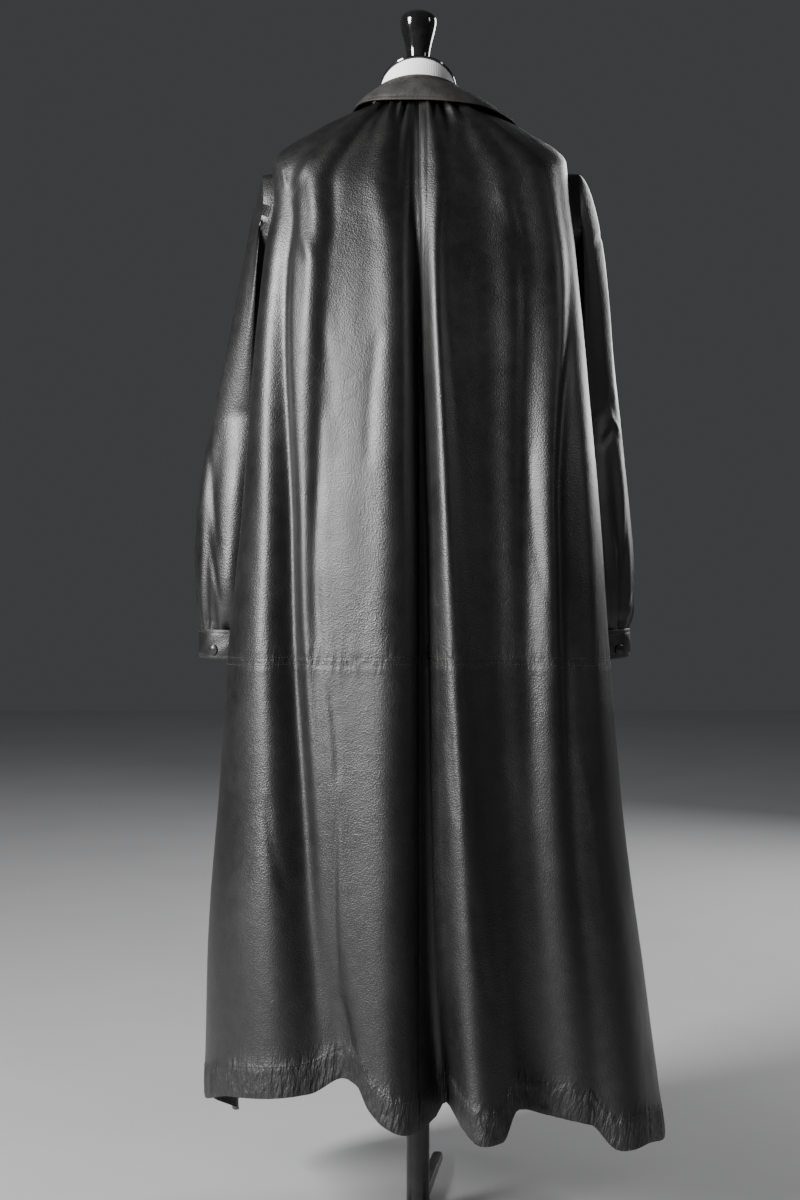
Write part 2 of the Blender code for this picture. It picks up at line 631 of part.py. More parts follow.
def cap(name, rise):
    """Thin plate on the slanted neck top."""
    turn = np.linspace(0.0, 2.0 * math.pi, FORM_SIDES, endpoint=False)
    reach = FORM_ROWS[-1].wide + CAP_OVERHANG
    rings = []
    for height in (SEAM, SEAM + CAP_THICK):
        x, y = reach * np.cos(turn), reach * np.sin(turn)
        rings.append(np.stack((x, y, neck_cut(y) + rise + height), axis=-1))
    return lofted(name, rings, GLOSS_BLACK)


def knob(name, rise):
    """Turned knob on the cap, its foot cut to the cap's slant."""
    turn = np.linspace(0.0, 2.0 * math.pi, KNOB_SIDES, endpoint=False)
    rings = []
    for row in KNOB_ROWS:
        x, y = row.radius * np.cos(turn), row.radius * np.sin(turn)
        seat = neck_cut(y) if row.rise == 0.0 else np.full_like(x, NECK_TOP)
        height = seat + rise + 2.0 * SEAM + CAP_THICK + row.rise
        rings.append(np.stack((x, y, height), axis=-1))
    return lofted(name, rings, GLOSS_BLACK)


def pole(name, top):
    """Round pole from the floor to the form's foot."""
    turn = np.linspace(0.0, 2.0 * math.pi, KNOB_SIDES, endpoint=False)
    x, y = POLE_RADIUS * np.cos(turn), POLE_RADIUS * np.sin(turn)
    rings = [np.stack((x, y, np.full_like(x, height)), axis=-1) for height in (0.0, top)]
    return lofted(name, rings, STEEL_BLACK)


def leg(name, azimuth):
    """One flat leg, lower at its tip, its whole underside on the floor."""
    start = POLE_RADIUS + SEAM
    half = LEG_WIDTH * 0.5
    sections = ((start, half, LEG_HEIGHT), (LEG_REACH * 0.6, half, LEG_HEIGHT * 0.85),
                (LEG_REACH - half, half, LEG_TIP_HEIGHT), (LEG_REACH, half * 0.5, LEG_TIP_HEIGHT))
    mesh = bmesh.new()
    loops = []
    for reach, wide, tall in sections:
        corners = ((-wide, 0.0), (wide, 0.0), (wide, tall), (-wide, tall))
        loops.append([mesh.verts.new((reach, y, z)) for y, z in corners])
    for near, far in zip(loops, loops[1:]):
        for here in range(4):
            beside = (here + 1) % 4
            mesh.faces.new((near[here], far[here], far[beside], near[beside]))
    mesh.faces.new(loops[0])
    mesh.faces.new(list(reversed(loops[-1])))
    bmesh.ops.recalc_face_normals(mesh, faces=mesh.faces)
    made = finished(name, mesh, STEEL_BLACK, sharp=math.radians(30.0))
    made.rotation_euler = (0.0, 0.0, math.radians(azimuth))
    return made


def seated_button(name, piece, start, direction, radius):
    """Put a button on the first cloth that a ray meets, clear of it all round."""
    bpy.context.view_layer.update()
    depsgraph = bpy.context.evaluated_depsgraph_get()
    surface = BVHTree.FromObject(piece, depsgraph)
    start, direction = Vector(start), Vector(direction).normalized()
    place, normal = surface.ray_cast(start, direction)[:2]
    side = normal.orthogonal().normalized()
    other = normal.cross(side)
    reach = 0.0
    for step in range(12):
        swing = step * math.pi / 6.0
        rim = place + (side * math.cos(swing) + other * math.sin(swing)) * radius
        hit = surface.ray_cast(rim + normal * 0.01, -normal)
        if hit[0] is not None:
            reach = max(reach, (hit[0] - place).dot(normal))
    return disc(name, place + normal * (reach + SEAM), normal, radius, BUTTON_BLACK)


def main():
    """Build every piece of the coat and its stand."""
    clear_scene()
    upper = np.array([0.0, 0.5, 1.0, 1.5, *column(ARMHOLE, "station"),
                      5.5, 6.0, 6.5, HIP])
    lower = np.array([HIP, 7.4, 7.8, 8.2, 8.6, 9.0, 9.5, HEM])
    lower_top = lower.copy()
    lower_top[0] += SEAM / (RINGS[HIP].side_z - RINGS[THIGH].side_z) * 1.6
    cloth = []
    for side, word in ((-1, "left"), (1, "right")):
        cloth.append(back_panel(f"back_upper_{word}", side, upper, 26))
        cloth.append(front_panel(f"front_upper_{word}", side, upper, 15))
        back_panel(f"back_skirt_{word}", side, lower_top, 36)
        front_panel(f"front_skirt_{word}", side, lower_top, 18)
        sleeve(f"sleeve_{word}", side)
        band = cuff(f"cuff_{word}", side)
        ring = sleeve_ring(side, len(SLEEVE_RINGS) - 1, SLEEVE_COUNT)
        middle = ring.mean(axis=0)
        turn = math.radians(58.0)
        away = (-side * math.cos(turn), math.sin(turn), 0.0)
        start = Vector((middle[0], middle[1], CUFF_FOOT + 0.012)) - Vector(away) * 0.15
        seated_button(f"button_cuff_{word}", band, start, away, CUFF_BUTTON_RADIUS)
    collar("collar")
    form = lofted("form_torso", form_rings(), FORM_WHITE)
    rise = resting_rise(form, cloth)
    for vertex in form.data.vertices:
        vertex.co.z += rise
    cap("form_cap", rise)
    knob("form_knob", rise)
    pole("stand_pole", FORM_ROWS[0].z + rise - SEAM)
    for number, azimuth in enumerate(LEG_AZIMUTHS, start=1):
        leg(f"stand_leg_{number}", azimuth)
    for number, height in enumerate(FRONT_BUTTON_HEIGHTS, start=1):
        piece = bpy.data.objects["front_upper_right" if height > RINGS[HIP].front_z
                                 else "front_skirt_right"]
        seated_button(f"button_front_{number}", piece, (0.0, 0.4, height), (0.0, -1.0, 0.0),
                      BUTTON_RADIUS)


main()
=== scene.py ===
"""Looks of a long leather coat on a dress form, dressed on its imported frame.

Every cloth piece is a thin shell on the same flared body as the frame's solids, with
its seams, gathers, puckers and creases raised in its own sizes. A place on the body
has an angle (0 at the centre back, 90 at the right side, 180 at the centre front) and
a station (a row of RINGS, counted from the neck). Everything is in metres.
"""
from __future__ import annotations

import logging
import math
from contextlib import contextmanager
from dataclasses import dataclass
from enum import Enum
from typing import Iterator, NamedTuple, Sequence

import bpy
import numpy as np
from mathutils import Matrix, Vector


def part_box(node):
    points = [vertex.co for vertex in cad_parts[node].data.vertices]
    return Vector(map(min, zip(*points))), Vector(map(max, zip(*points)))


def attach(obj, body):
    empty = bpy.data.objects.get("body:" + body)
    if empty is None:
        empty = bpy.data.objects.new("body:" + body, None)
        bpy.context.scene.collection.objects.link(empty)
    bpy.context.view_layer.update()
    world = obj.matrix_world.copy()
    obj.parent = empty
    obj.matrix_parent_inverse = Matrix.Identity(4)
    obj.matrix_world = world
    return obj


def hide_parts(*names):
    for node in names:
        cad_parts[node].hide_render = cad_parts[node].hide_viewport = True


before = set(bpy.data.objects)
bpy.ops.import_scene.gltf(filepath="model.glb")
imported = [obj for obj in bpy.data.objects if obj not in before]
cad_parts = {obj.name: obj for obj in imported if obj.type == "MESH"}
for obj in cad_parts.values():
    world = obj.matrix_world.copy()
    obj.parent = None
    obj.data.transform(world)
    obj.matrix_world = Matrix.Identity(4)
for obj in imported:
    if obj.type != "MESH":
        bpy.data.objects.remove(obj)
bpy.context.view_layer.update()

LOG = logging.getLogger("coat")
BODY = "root"
MM = 0.001
MERGE = 1e-6
RIM_ANGLE = math.radians(55.0)
# Stitch rows: how far they lie from their edge or seam, and above the leather.
HIP_STITCH = 0.0042
FRONT_STITCH = 0.006
STITCH_LIFT = 0.0003
Array = np.ndarray
Line = tuple[Array, Array]


class Slot(Enum):
    """Material slots of the record."""

    LEATHER = "black_leather"
    COLLAR = "collar_leather"
    BUTTON = "button_black"
    FORM = "form_white"
    LACQUER = "gloss_black"
    STAND = "stand_black"


class Side(Enum):
    """Wearer's sides; the value is the direction along X."""

    LEFT = -1
    RIGHT = 1

    @property
    def word(self) -> str:
        """Lower-case word used in piece names."""
        return self.name.lower()


class Ring(NamedTuple):
    """One ring of the coat's body: heights, half widths, depths and side tuck."""

    name: str
    back_z: float
    side_z: float
    front_z: float
    left: float
    right: float
    back: float
    widest: float
    front: float
    tuck: float


RINGS = (
    Ring("neck", 1.404, 1.400, 1.350, 0.064, 0.066, 0.068, 0.000, 0.076, 0.000),
    Ring("yoke", 1.348, 1.374, 1.300, 0.126, 0.130, 0.104, 0.000, 0.108, 0.000),
    Ring("shoulder", 1.270, 1.329, 1.235, 0.184, 0.186, 0.134, -0.012, 0.134, 0.006),
    Ring("cap", 1.222, 1.282, 1.195, 0.181, 0.188, 0.147, -0.030, 0.142, 0.020),
    Ring("blade", 1.165, 1.205, 1.150, 0.192, 0.195, 0.160, -0.045, 0.150, 0.044),
    Ring("armpit", 1.050, 1.055, 1.045, 0.206, 0.208, 0.176, -0.050, 0.165, 0.066),
    Ring("elbow", 0.880, 0.880, 0.880, 0.219, 0.224, 0.190, -0.050, 0.176, 0.074),
    Ring("hip", 0.716, 0.709, 0.709, 0.236, 0.236, 0.202, -0.044, 0.186, 0.066),
    Ring("thigh", 0.535, 0.530, 0.525, 0.248, 0.252, 0.214, -0.030, 0.196, 0.020),
    Ring("calf", 0.345, 0.330, 0.325, 0.262, 0.280, 0.224, -0.020, 0.204, 0.000),
    Ring("hem", 0.172, 0.140, 0.125, 0.266, 0.306, 0.230, -0.015, 0.210, 0.000),
)
NECK, BLADE, ELBOW, HIP, THIGH, CALF, HEM = (
    [ring.name for ring in RINGS].index(name)
    for name in ("neck", "blade", "elbow", "hip", "thigh", "calf", "hem"))


class HemDrop(NamedTuple):
    """How far the hem hangs above its ring at a place across."""

    across: float
    drop: float


HEM_DROPS = (
    HemDrop(-2.00, 0.000), HemDrop(-1.60, -0.010), HemDrop(-1.35, -0.034),
    HemDrop(-1.10, 0.000), HemDrop(-1.00, 0.029), HemDrop(-0.84, 0.047),
    HemDrop(-0.50, 0.048), HemDrop(-0.35, 0.063), HemDrop(-0.28, 0.058),
    HemDrop(-0.22, 0.033), HemDrop(-0.15, 0.017), HemDrop(-0.05, 0.008),
    HemDrop(0.06, 0.014), HemDrop(0.10, 0.030), HemDrop(0.16, 0.009),
    HemDrop(0.22, -0.003), HemDrop(0.31, 0.000), HemDrop(0.37, 0.032),
    HemDrop(0.50, 0.021), HemDrop(0.67, 0.014), HemDrop(0.75, -0.012),
    HemDrop(0.85, -0.006), HemDrop(1.00, -0.016), HemDrop(1.40, -0.012),
    HemDrop(2.00, 0.000),
)


class Fold(NamedTuple):
    """A long fold: place across, half width across and height (mm) at FOLD_STATIONS."""

    name: str
    across: tuple[float, ...]
    width: tuple[float, ...]
    height: tuple[float, ...]


FOLD_STATIONS = (NECK, BLADE, ELBOW, CALF, HEM)
FOLDS = (
    Fold("centre valley", (-0.05, -0.012, 0.02, 0.05, 0.09), (0.08, 0.050, 0.06, 0.08, 0.07),
         (-3, -17, -24, -30, -42)),
    Fold("left centre ridge", (-0.36, -0.17, -0.15, -0.13, -0.10), (0.10, 0.10, 0.12, 0.13, 0.12),
         (3, 6, 8, 12, 20)),
    Fold("left inner crease", (-0.56, -0.58, -0.57, -0.39, -0.33), (0.05, 0.04, 0.04, 0.05, 0.06),
         (-4, -1, -3, -4, -10)),
    Fold("left broad hollow", (-0.50, -0.52, -0.56, -0.36, -0.33), (0.14, 0.16, 0.17, 0.16, 0.12),
         (0, -4, -9, -8, -4)),
    Fold("left valley", (-0.85, -0.87, -0.745, -0.51, -0.44), (0.08, 0.065, 0.065, 0.10, 0.13),
         (-2, -12, -20, -24, -22)),
    Fold("left shoulder ridge", (-0.70, -0.66, -0.60, -0.40, -0.30), (0.08, 0.07, 0.08, 0.10, 0.10),
         (3, 6, 2, 0, 0)),
    Fold("right centre ridge", (0.16, 0.10, 0.145, 0.23, 0.24), (0.06, 0.045, 0.055, 0.08, 0.10),
         (2, 6, 9, 12, 20)),
    Fold("right broad valley", (0.40, 0.42, 0.40, 0.44, 0.50), (0.10, 0.16, 0.16, 0.13, 0.13),
         (-4, -11, -17, -24, -30)),
    Fold("right valley lip", (0.60, 0.67, 0.58, 0.55, 0.55), (0.08, 0.08, 0.07, 0.07, 0.07),
         (0, -7, -10, -7, 0)),
    Fold("right ridge", (0.70, 0.84, 0.69, 0.62, 0.64), (0.08, 0.08, 0.06, 0.08, 0.08),
         (3, 6, 6, 0, 0)),
    Fold("right side crease", (0.90, 0.93, 0.735, 0.70, 0.70), (0.04, 0.04, 0.03, 0.05, 0.06),
         (0, -2, -5, -6, -10)),
    Fold("right side ridge", (0.95, 0.97, 0.88, 0.82, 0.80), (0.06, 0.06, 0.07, 0.10, 0.10),
         (0, 0, 5, 10, 16)),
    Fold("left front lobe", (-1.55, -1.60, -1.58, -1.52, -1.50), (0.08, 0.10, 0.10, 0.12, 0.14),
         (2, 6, 10, 14, 20)),
    Fold("left front valley", (-1.72, -1.76, -1.74, -1.70, -1.70), (0.06, 0.07, 0.07, 0.08, 0.09),
         (-2, -8, -14, -20, -26)),
    Fold("left side valley", (-1.20, -1.20, -1.20, -1.20, -1.22), (0.08, 0.08, 0.08, 0.08, 0.10),
         (0, 0, 0, -14, -26)),
    Fold("right front lobe", (1.55, 1.58, 1.56, 1.54, 1.50), (0.08, 0.10, 0.10, 0.12, 0.14),
         (2, 6, 9, 14, 18)),
    Fold("right front valley", (1.70, 1.74, 1.72, 1.70, 1.68), (0.06, 0.07, 0.07, 0.08, 0.09),
         (-2, -7, -14, -18, -24)),
    Fold("right side valley", (1.20, 1.20, 1.20, 1.20, 1.24), (0.08, 0.08, 0.08, 0.08, 0.10),
         (0, 0, 0, -12, -24)),
)


class Gather(NamedTuple):
    """A gather that runs down from the neck seam: places across, reach and depth."""

    top: float
    end: float
    reach: float
    width: float
    depth: float


GATHERS = (
    Gather(-0.82, -0.62, 1.3, 0.045, -2.2), Gather(-0.68, -0.50, 0.9, 0.040, 1.6),
    Gather(-0.55, -0.36, 1.6, 0.045, -3.2), Gather(-0.46, -0.30, 1.1, 0.035, 2.2),
    Gather(-0.38, -0.16, 1.2, 0.040, -3.4), Gather(-0.30, -0.12, 1.4, 0.035, 2.4),
    Gather(-0.22, -0.08, 3.2, 0.040, -3.6), Gather(-0.08, -0.03, 1.2, 0.040, 2.0),
    Gather(0.16, 0.07, 1.8, 0.040, 1.8), Gather(0.28, 0.13, 0.9, 0.035, -2.4),
    Gather(0.40, 0.22, 1.7, 0.045, -3.2), Gather(0.52, 0.32, 1.4, 0.045, 2.6),
    Gather(0.63, 0.42, 1.2, 0.040, -2.2), Gather(0.76, 0.55, 1.0, 0.045, 1.6),
    Gather(-1.70, -1.66, 1.4, 0.040, -2.4), Gather(-1.62, -1.56, 1.6, 0.040, 2.0),
    Gather(-1.54, -1.46, 1.2, 0.035, -2.0), Gather(1.70, 1.64, 1.5, 0.040, -2.2),
    Gather(1.61, 1.54, 1.3, 0.040, 2.0), Gather(1.52, 1.44, 1.2, 0.035, -1.8),
)


class Crease(NamedTuple):
    """A soft trough on the back or front, between two places, as x and z in metres."""

    x0: float
    z0: float
    x1: float
    z1: float
    bow: float
    width: float
    depth: float


BACK_CREASES = (
    Crease(-0.160, 1.046, -0.066, 1.049, 0.003, 1.1, -0.9),
    Crease(-0.158, 1.012, -0.130, 1.010, 0.001, 0.9, -0.6),
    Crease(-0.122, 0.822, -0.108, 0.690, 0.003, 6.5, -1.1),
    Crease(-0.108, 0.700, -0.096, 0.560, -0.004, 4.5, -1.1),
    Crease(-0.096, 0.560, -0.094, 0.330, 0.004, 3.2, -1.6),
    Crease(-0.094, 0.335, -0.070, 0.215, -0.003, 3.5, -1.8),
    Crease(-0.150, 1.290, -0.126, 1.180, 0.004, 7.0, 2.4),
    Crease(-0.126, 1.330, -0.158, 1.278, -0.002, 5.0, 2.2),
    Crease(-0.166, 1.318, -0.161, 1.284, 0.001, 4.0, 1.6),
    Crease(0.128, 0.985, 0.152, 0.770, 0.006, 6.0, -1.2),
    Crease(0.090, 1.290, 0.132, 1.150, -0.008, 9.0, 1.6),
    Crease(0.034, 0.660, 0.046, 0.520, 0.003, 4.0, -1.0),
    Crease(0.060, 0.470, 0.086, 0.300, 0.004, 5.0, -1.2),
    Crease(-0.046, 1.120, -0.060, 0.930, 0.004, 7.0, -0.9),
    Crease(-0.118, 1.130, -0.106, 0.990, -0.004, 8.0, -0.9),
    Crease(-0.180, 0.560, -0.150, 0.430, 0.006, 6.0, -1.2),
    Crease(0.186, 0.620, 0.214, 0.400, -0.006, 6.0, 1.2),
)
FRONT_CREASES = (
    Crease(-0.120, 1.180, -0.098, 1.020, 0.004, 7.0, -1.6),
    Crease(0.118, 1.200, 0.090, 1.060, -0.004, 7.0, -1.4),
    Crease(-0.070, 0.900, -0.060, 0.760, 0.003, 6.0, -1.2),
    Crease(0.072, 0.930, 0.064, 0.780, 0.003, 6.0, 1.2),
    Crease(-0.110, 0.600, -0.130, 0.400, -0.006, 6.0, -1.4),
    Crease(0.106, 0.560, 0.130, 0.360, 0.006, 6.0, -1.4),
    Crease(0.050, 1.110, 0.092, 1.104, 0.002, 1.4, -0.7),
)


def smooth(knots: Sequence[float], values: Sequence[float], at: Array | float) -> Array:
    """Draw a monotone cubic curve through a table's column.

    Args:
        knots: Places of the values, rising.
        values: The column's values.
        at: Where to read the curve.

    Returns:
        The curve's values.
    """
    knots = np.asarray(knots, float)
    values = np.asarray(values, float)
    at = np.clip(np.asarray(at, float), knots[0], knots[-1])
    step = np.diff(knots)
    slope = np.diff(values) / step
    tangent = np.empty_like(values)
    tangent[0], tangent[-1] = slope[0], slope[-1]
    before, after = slope[:-1], slope[1:]
    same_way = before * after > 0.0
    total = np.where(same_way, before + after, 1.0)
    tangent[1:-1] = np.where(same_way, 2.0 * before * after / total, 0.0)
    left = np.clip(np.searchsorted(knots, at, side="right") - 1, 0, len(step) - 1)
    width = step[left]
    t = (at - knots[left]) / width
    rise_in, rise_out = tangent[left] * width, tangent[left + 1] * width
    return (values[left] * (2 * t**3 - 3 * t**2 + 1) + rise_in * (t**3 - 2 * t**2 + t)
            + values[left + 1] * (3 * t**2 - 2 * t**3) + rise_out * (t**3 - t**2))


def ease(share: Array | float) -> Array:
    """Smooth step from 0 to 1."""
    share = np.clip(share, 0.0, 1.0)
    return share * share * (3.0 - 2.0 * share)


def bump(distance: Array, width: float) -> Array:
    """Soft bell of height 1 at distance 0."""
    return np.exp(-(distance / width)**2)


def column(rows: Sequence[NamedTuple], name: str) -> list[float]:
    """One named column of a table."""
    return [getattr(row, name) for row in rows]


def wrapped(angle: Array | float) -> Array:
    """Bring degrees to -180..180."""
    return (np.asarray(angle, float) + 180.0) % 360.0 - 180.0


def unit(ways: Array) -> Array:
    """Bring directions to length 1."""
    return ways / np.linalg.norm(ways, axis=-1, keepdims=True)


def arcs(points: Array, axis: int) -> Array:
    """Length run along one axis of a grid of points, from its start.

    Args:
        points: Places of the grid.
        axis: 0 down the rows, 1 along the columns.

    Returns:
        The length at each point.
    """
    steps = np.linalg.norm(np.diff(points, axis=axis), axis=-1)
    lead = np.zeros_like(np.take(steps, [0], axis=axis))
    return np.concatenate((lead, np.cumsum(steps, axis=axis)), axis=axis)


def grid_normals(points: Array, closed: bool = False) -> Array:
    """Directions out of a grid of points, rows down and columns round.

    Args:
        points: Places of the grid.
        closed: Whether the last column meets the first.

    Returns:
        One direction for each point.
    """
    down = np.gradient(points, axis=0)
    if closed:
        along = np.roll(points, -1, axis=1) - np.roll(points, 1, axis=1)
    else:
        along = np.gradient(points, axis=1)
    out = np.cross(down, along)
    return out / np.maximum(np.linalg.norm(out, axis=-1, keepdims=True), 1e-12)


def ripple(run: Array, pitch: float, seed: float) -> Array:
    """Uneven small waves along a run, between about -1 and 1.

    Args:
        run: Length along the cloth.
        pitch: Usual length of a wave.
        seed: Offset that sets where the waves fall.

    Returns:
        The waves' heights.
    """
    turn = 2.0 * math.pi * run / pitch
    drift = 1.9 * np.sin(turn * 0.173 + seed) + 1.1 * np.sin(turn * 0.391 + 2.3 * seed)
    swell = 0.62 + 0.38 * np.sin(turn * 0.211 + 1.7 * seed)
    return (0.75 * np.sin(turn + drift) + 0.35 * np.sin(turn * 1.83 + 3.1 * seed)) * swell


@dataclass(frozen=True)
class CoatBody:
    """The flared tube of the coat, as a function of angle and station."""

    wall: float = 0.0016
    squareness: float = 0.10
    seam_angle: float = 113.0
    tuck_angle: float = 113.0
    tuck_flat: float = 9.0
    tuck_edge: float = 15.0

    def across(self, angle: Array) -> Array:
        """Place across: 0 centre back, 1 or -1 side, 2 or -2 centre front."""
        turn = np.radians(np.abs(angle))
        behind = np.sin(turn) * (1.0 + self.squareness * np.sin(2.0 * turn)**2)
        before = 1.0 + (np.abs(angle) - 90.0) / 90.0
        return np.sign(angle) * np.where(np.abs(angle) <= 90.0, behind, before)

    def plan(self, angle: Array, station: Array) -> Array:
        """Places on the plain rings, without folds.

        Args:
            angle: Degrees round the body.
            station: Places down the table of rings.

        Returns:
            One place for each angle and station.
        """
        angle = wrapped(angle)
        ring = {name: smooth(range(len(RINGS)), column(RINGS, name), station)
                for name in Ring._fields[1:]}
        turn = np.radians(np.abs(angle))
        half = np.where(angle < 0.0, ring["left"], ring["right"])
        corner = 1.0 + self.squareness * np.sin(2.0 * turn)**2
        depth = np.where(np.cos(turn) > 0.0, ring["back"] + ring["widest"],
                         ring["front"] - ring["widest"])
        off = np.abs(np.abs(angle) - self.tuck_angle)
        tuck = ring["tuck"] * ease(1.0 - (off - self.tuck_flat) / self.tuck_edge)
        x = half * np.sin(turn) * corner - tuck
        y = ring["widest"] - depth * np.cos(turn) * corner
        sideways = np.sin(turn)**2
        ends = np.where(np.cos(turn) > 0.0, ring["back_z"], ring["front_z"])
        drop = smooth(column(HEM_DROPS, "across"), column(HEM_DROPS, "drop"), self.across(angle))
        z = ends * (1.0 - sideways) + ring["side_z"] * sideways
        z = z + drop * ease((station - HIP) / (HEM - HIP))
        return np.stack((np.sign(angle) * x, y, z), axis=-1)

    def fold_height(self, angle: Array, station: Array) -> Array:
        """Height of all long folds together.

        Args:
            angle: Degrees round the body.
            station: Places down the table of rings.

        Returns:
            Heights out of the plain rings.
        """
        place = self.across(wrapped(angle))
        total = np.zeros_like(place)
        for fold in FOLDS:
            centre = smooth(FOLD_STATIONS, fold.across, station)
            width = smooth(FOLD_STATIONS, fold.width, station)
            height = smooth(FOLD_STATIONS, fold.height, station) * MM
            total = total + height * np.exp(-((place - centre) / width)**2)
        return total

    def point(self, angle: Array, station: Array, lift: Array | float = 0.0) -> Array:
        """Places on the folded body, moved outwards by lift.

        Args:
            angle: Degrees round the body.
            station: Places down the table of rings.
            lift: How far the places stand off the folded body.

        Returns:
            One place for each angle and station.
        """
        angle, station = np.broadcast_arrays(np.asarray(angle, float),
                                             np.asarray(station, float))
        step = 0.5
        along = self.plan(angle + step, station) - self.plan(angle - step, station)
        outward = unit(np.stack((along[..., 1], -along[..., 0], np.zeros_like(angle)), axis=-1))
        raised = self.fold_height(angle, station) + lift
        return self.plan(angle, station) + outward * raised[..., None]

    def normal(self, angle: Array, station: Array, plain: bool = False) -> Array:
        """Directions out of the folded body, or of its plain rings.

        Args:
            angle: Degrees round the body.
            station: Places down the table of rings.
            plain: Whether to read the plain rings.

        Returns:
            One direction for each place.
        """
        place = self.plan if plain else self.point
        turn, slide = (2.0, 0.05) if plain else (0.4, 0.02)
        along = place(angle + turn, station) - place(angle - turn, station)
        down = place(angle, station + slide) - place(angle, station - slide)
        return unit(np.cross(down, along))

    def even_rows(self, start: float, end: float, count: int) -> Array:
        """Stations from start to end, spaced evenly down the cloth.

        Args:
            start: First station.
            end: Last station.
            count: How many there are.

        Returns:
            The stations.
        """
        dense = np.linspace(start, end, 200)
        line = self.plan(np.full_like(dense, 40.0), dense)
        run = arcs(line, 0)
        return np.interp(np.linspace(0.0, run[-1], count), run, dense)


class Armhole(NamedTuple):
    """How far the armhole opens behind and before the side seam, in degrees."""

    station: float
    back: float
    front: float


ARMHOLE = (
    Armhole(1.86, 0.0, 0.0), Armhole(2.06, 14.0, 7.0), Armhole(2.40, 27.0, 10.5),
    Armhole(2.90, 29.0, 13.0), Armhole(3.30, 28.0, 14.5), Armhole(3.65, 23.0, 15.0),
    Armhole(4.05, 18.0, 15.0), Armhole(4.45, 13.5, 14.0), Armhole(4.75, 9.0, 11.0),
    Armhole(4.92, 5.5, 6.5), Armhole(5.00, 0.0, 0.0),
)


def deselect_all() -> None:
    """Leave nothing selected or active."""
    for item in bpy.context.selected_objects:
        item.select_set(False)
    bpy.context.view_layer.objects.active = None


def pick(piece: bpy.types.Object) -> None:
    """Select one piece alone and make it active."""
    deselect_all()
    piece.select_set(True)
    bpy.context.view_layer.objects.active = piece


@contextmanager
def edit_mode(action: str = "SELECT") -> Iterator[None]:
    """Edit the active piece's mesh, with all or none of it selected at first."""
    bpy.ops.object.mode_set(mode="EDIT")
    bpy.ops.mesh.select_all(action=action)
    yield
    bpy.ops.object.mode_set(mode="OBJECT")


def apply_modifiers(piece: bpy.types.Object) -> None:
    """Apply a piece's modifiers in order."""
    pick(piece)
    for modifier in list(piece.modifiers):
        bpy.ops.object.modifier_apply(modifier=modifier.name)


def settle(piece: bpy.types.Object, name: str, material: bpy.types.Material,
           replaces: Sequence[str] = ()) -> bpy.types.Object:
    """Name a finished piece, dress it and seat it on the frame.

    Args:
        piece: The finished object.
        name: Its name.
        material: Its finish.
        replaces: CAD nodes that it stands for.

    Returns:
        The same object.
    """
    piece.name = name
    piece.data.name = name
    piece.data.materials.clear()
    piece.data.materials.append(material)
    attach(piece, BODY)
    if replaces:
        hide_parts(*replaces)
    deselect_all()
    LOG.info("made %s", name)
    return piece


def grid_piece(points: Array, **marks: Array) -> bpy.types.Object:
    """Make a mesh from a grid of points.

    Args:
        points: Rows down and columns round, as an array of places.
        marks: Named values of each point.

    Returns:
        The new object, selected and active.
    """
    rows, columns = points.shape[:2]
    deselect_all()
    bpy.ops.mesh.primitive_grid_add(x_subdivisions=columns - 1, y_subdivisions=rows - 1)
    piece = bpy.context.active_object
    piece.data.vertices.foreach_set("co", points[::-1].astype(np.float32).ravel())
    for name, value in marks.items():
        layer = piece.data.attributes.new(name, "FLOAT", "POINT")
        layer.data.foreach_set("value", value[::-1].astype(np.float32).ravel())
    piece.data.update()
    return piece


def cloth(points: Array, wall: float, closed: bool = False,
          **marks: Array) -> bpy.types.Object:
    """Make a thin shell from a grid of outer points.

    Args:
        points: Rows down and columns round, as an array of places.
        wall: Thickness, given inwards.
        closed: Whether the last column meets the first.
        marks: Named values of each point for its finish, such as wear and pucker
            from 0 to 1, and run, a length along the puckered seam.

    Returns:
        The new object, with its wall applied.
    """
    if closed:
        points = np.concatenate((points, points[:, :1]), axis=1)
        marks = {name: np.concatenate((value, value[:, :1]), axis=1)
                 for name, value in marks.items()}
    piece = grid_piece(points, **marks)
    if closed:
        with edit_mode():
            bpy.ops.mesh.remove_doubles(threshold=MERGE)
    thick = piece.modifiers.new("wall", "SOLIDIFY")
    thick.thickness = wall
    thick.offset = -1.0
    apply_modifiers(piece)
    bpy.ops.object.shade_smooth()
    # The wall's rims stay crisp, so smooth shading doesn't round the cut edges.
    with edit_mode("DESELECT"):
        bpy.ops.mesh.select_mode(type="EDGE")
        bpy.ops.mesh.edges_select_sharp(sharpness=RIM_ANGLE)
        bpy.ops.mesh.mark_sharp()
        bpy.ops.mesh.select_all(action="DESELECT")
    return piece


def trace(points: Array, out: Array, distance: Array, value: float, lift: float) -> Line:
    """Find the line over a grid where a length has one value, column by column.

    Args:
        points: Places of the grid.
        out: Directions out at them.
        distance: The length at them.
        value: The length that the line keeps.
        lift: How far the line stands off the surface.

    Returns:
        The line's places and its directions out.
    """
    places, outs = [], []
    for col in range(distance.shape[1]):
        order = np.argsort(distance[:, col])
        run = distance[order, col]
        if run[0] <= value <= run[-1]:
            for grid, line in ((points, places), (out, outs)):
                line.append([np.interp(value, run, grid[order, col, k]) for k in range(3)])
    outward = np.array(outs)
    return np.array(places) + outward * lift, outward


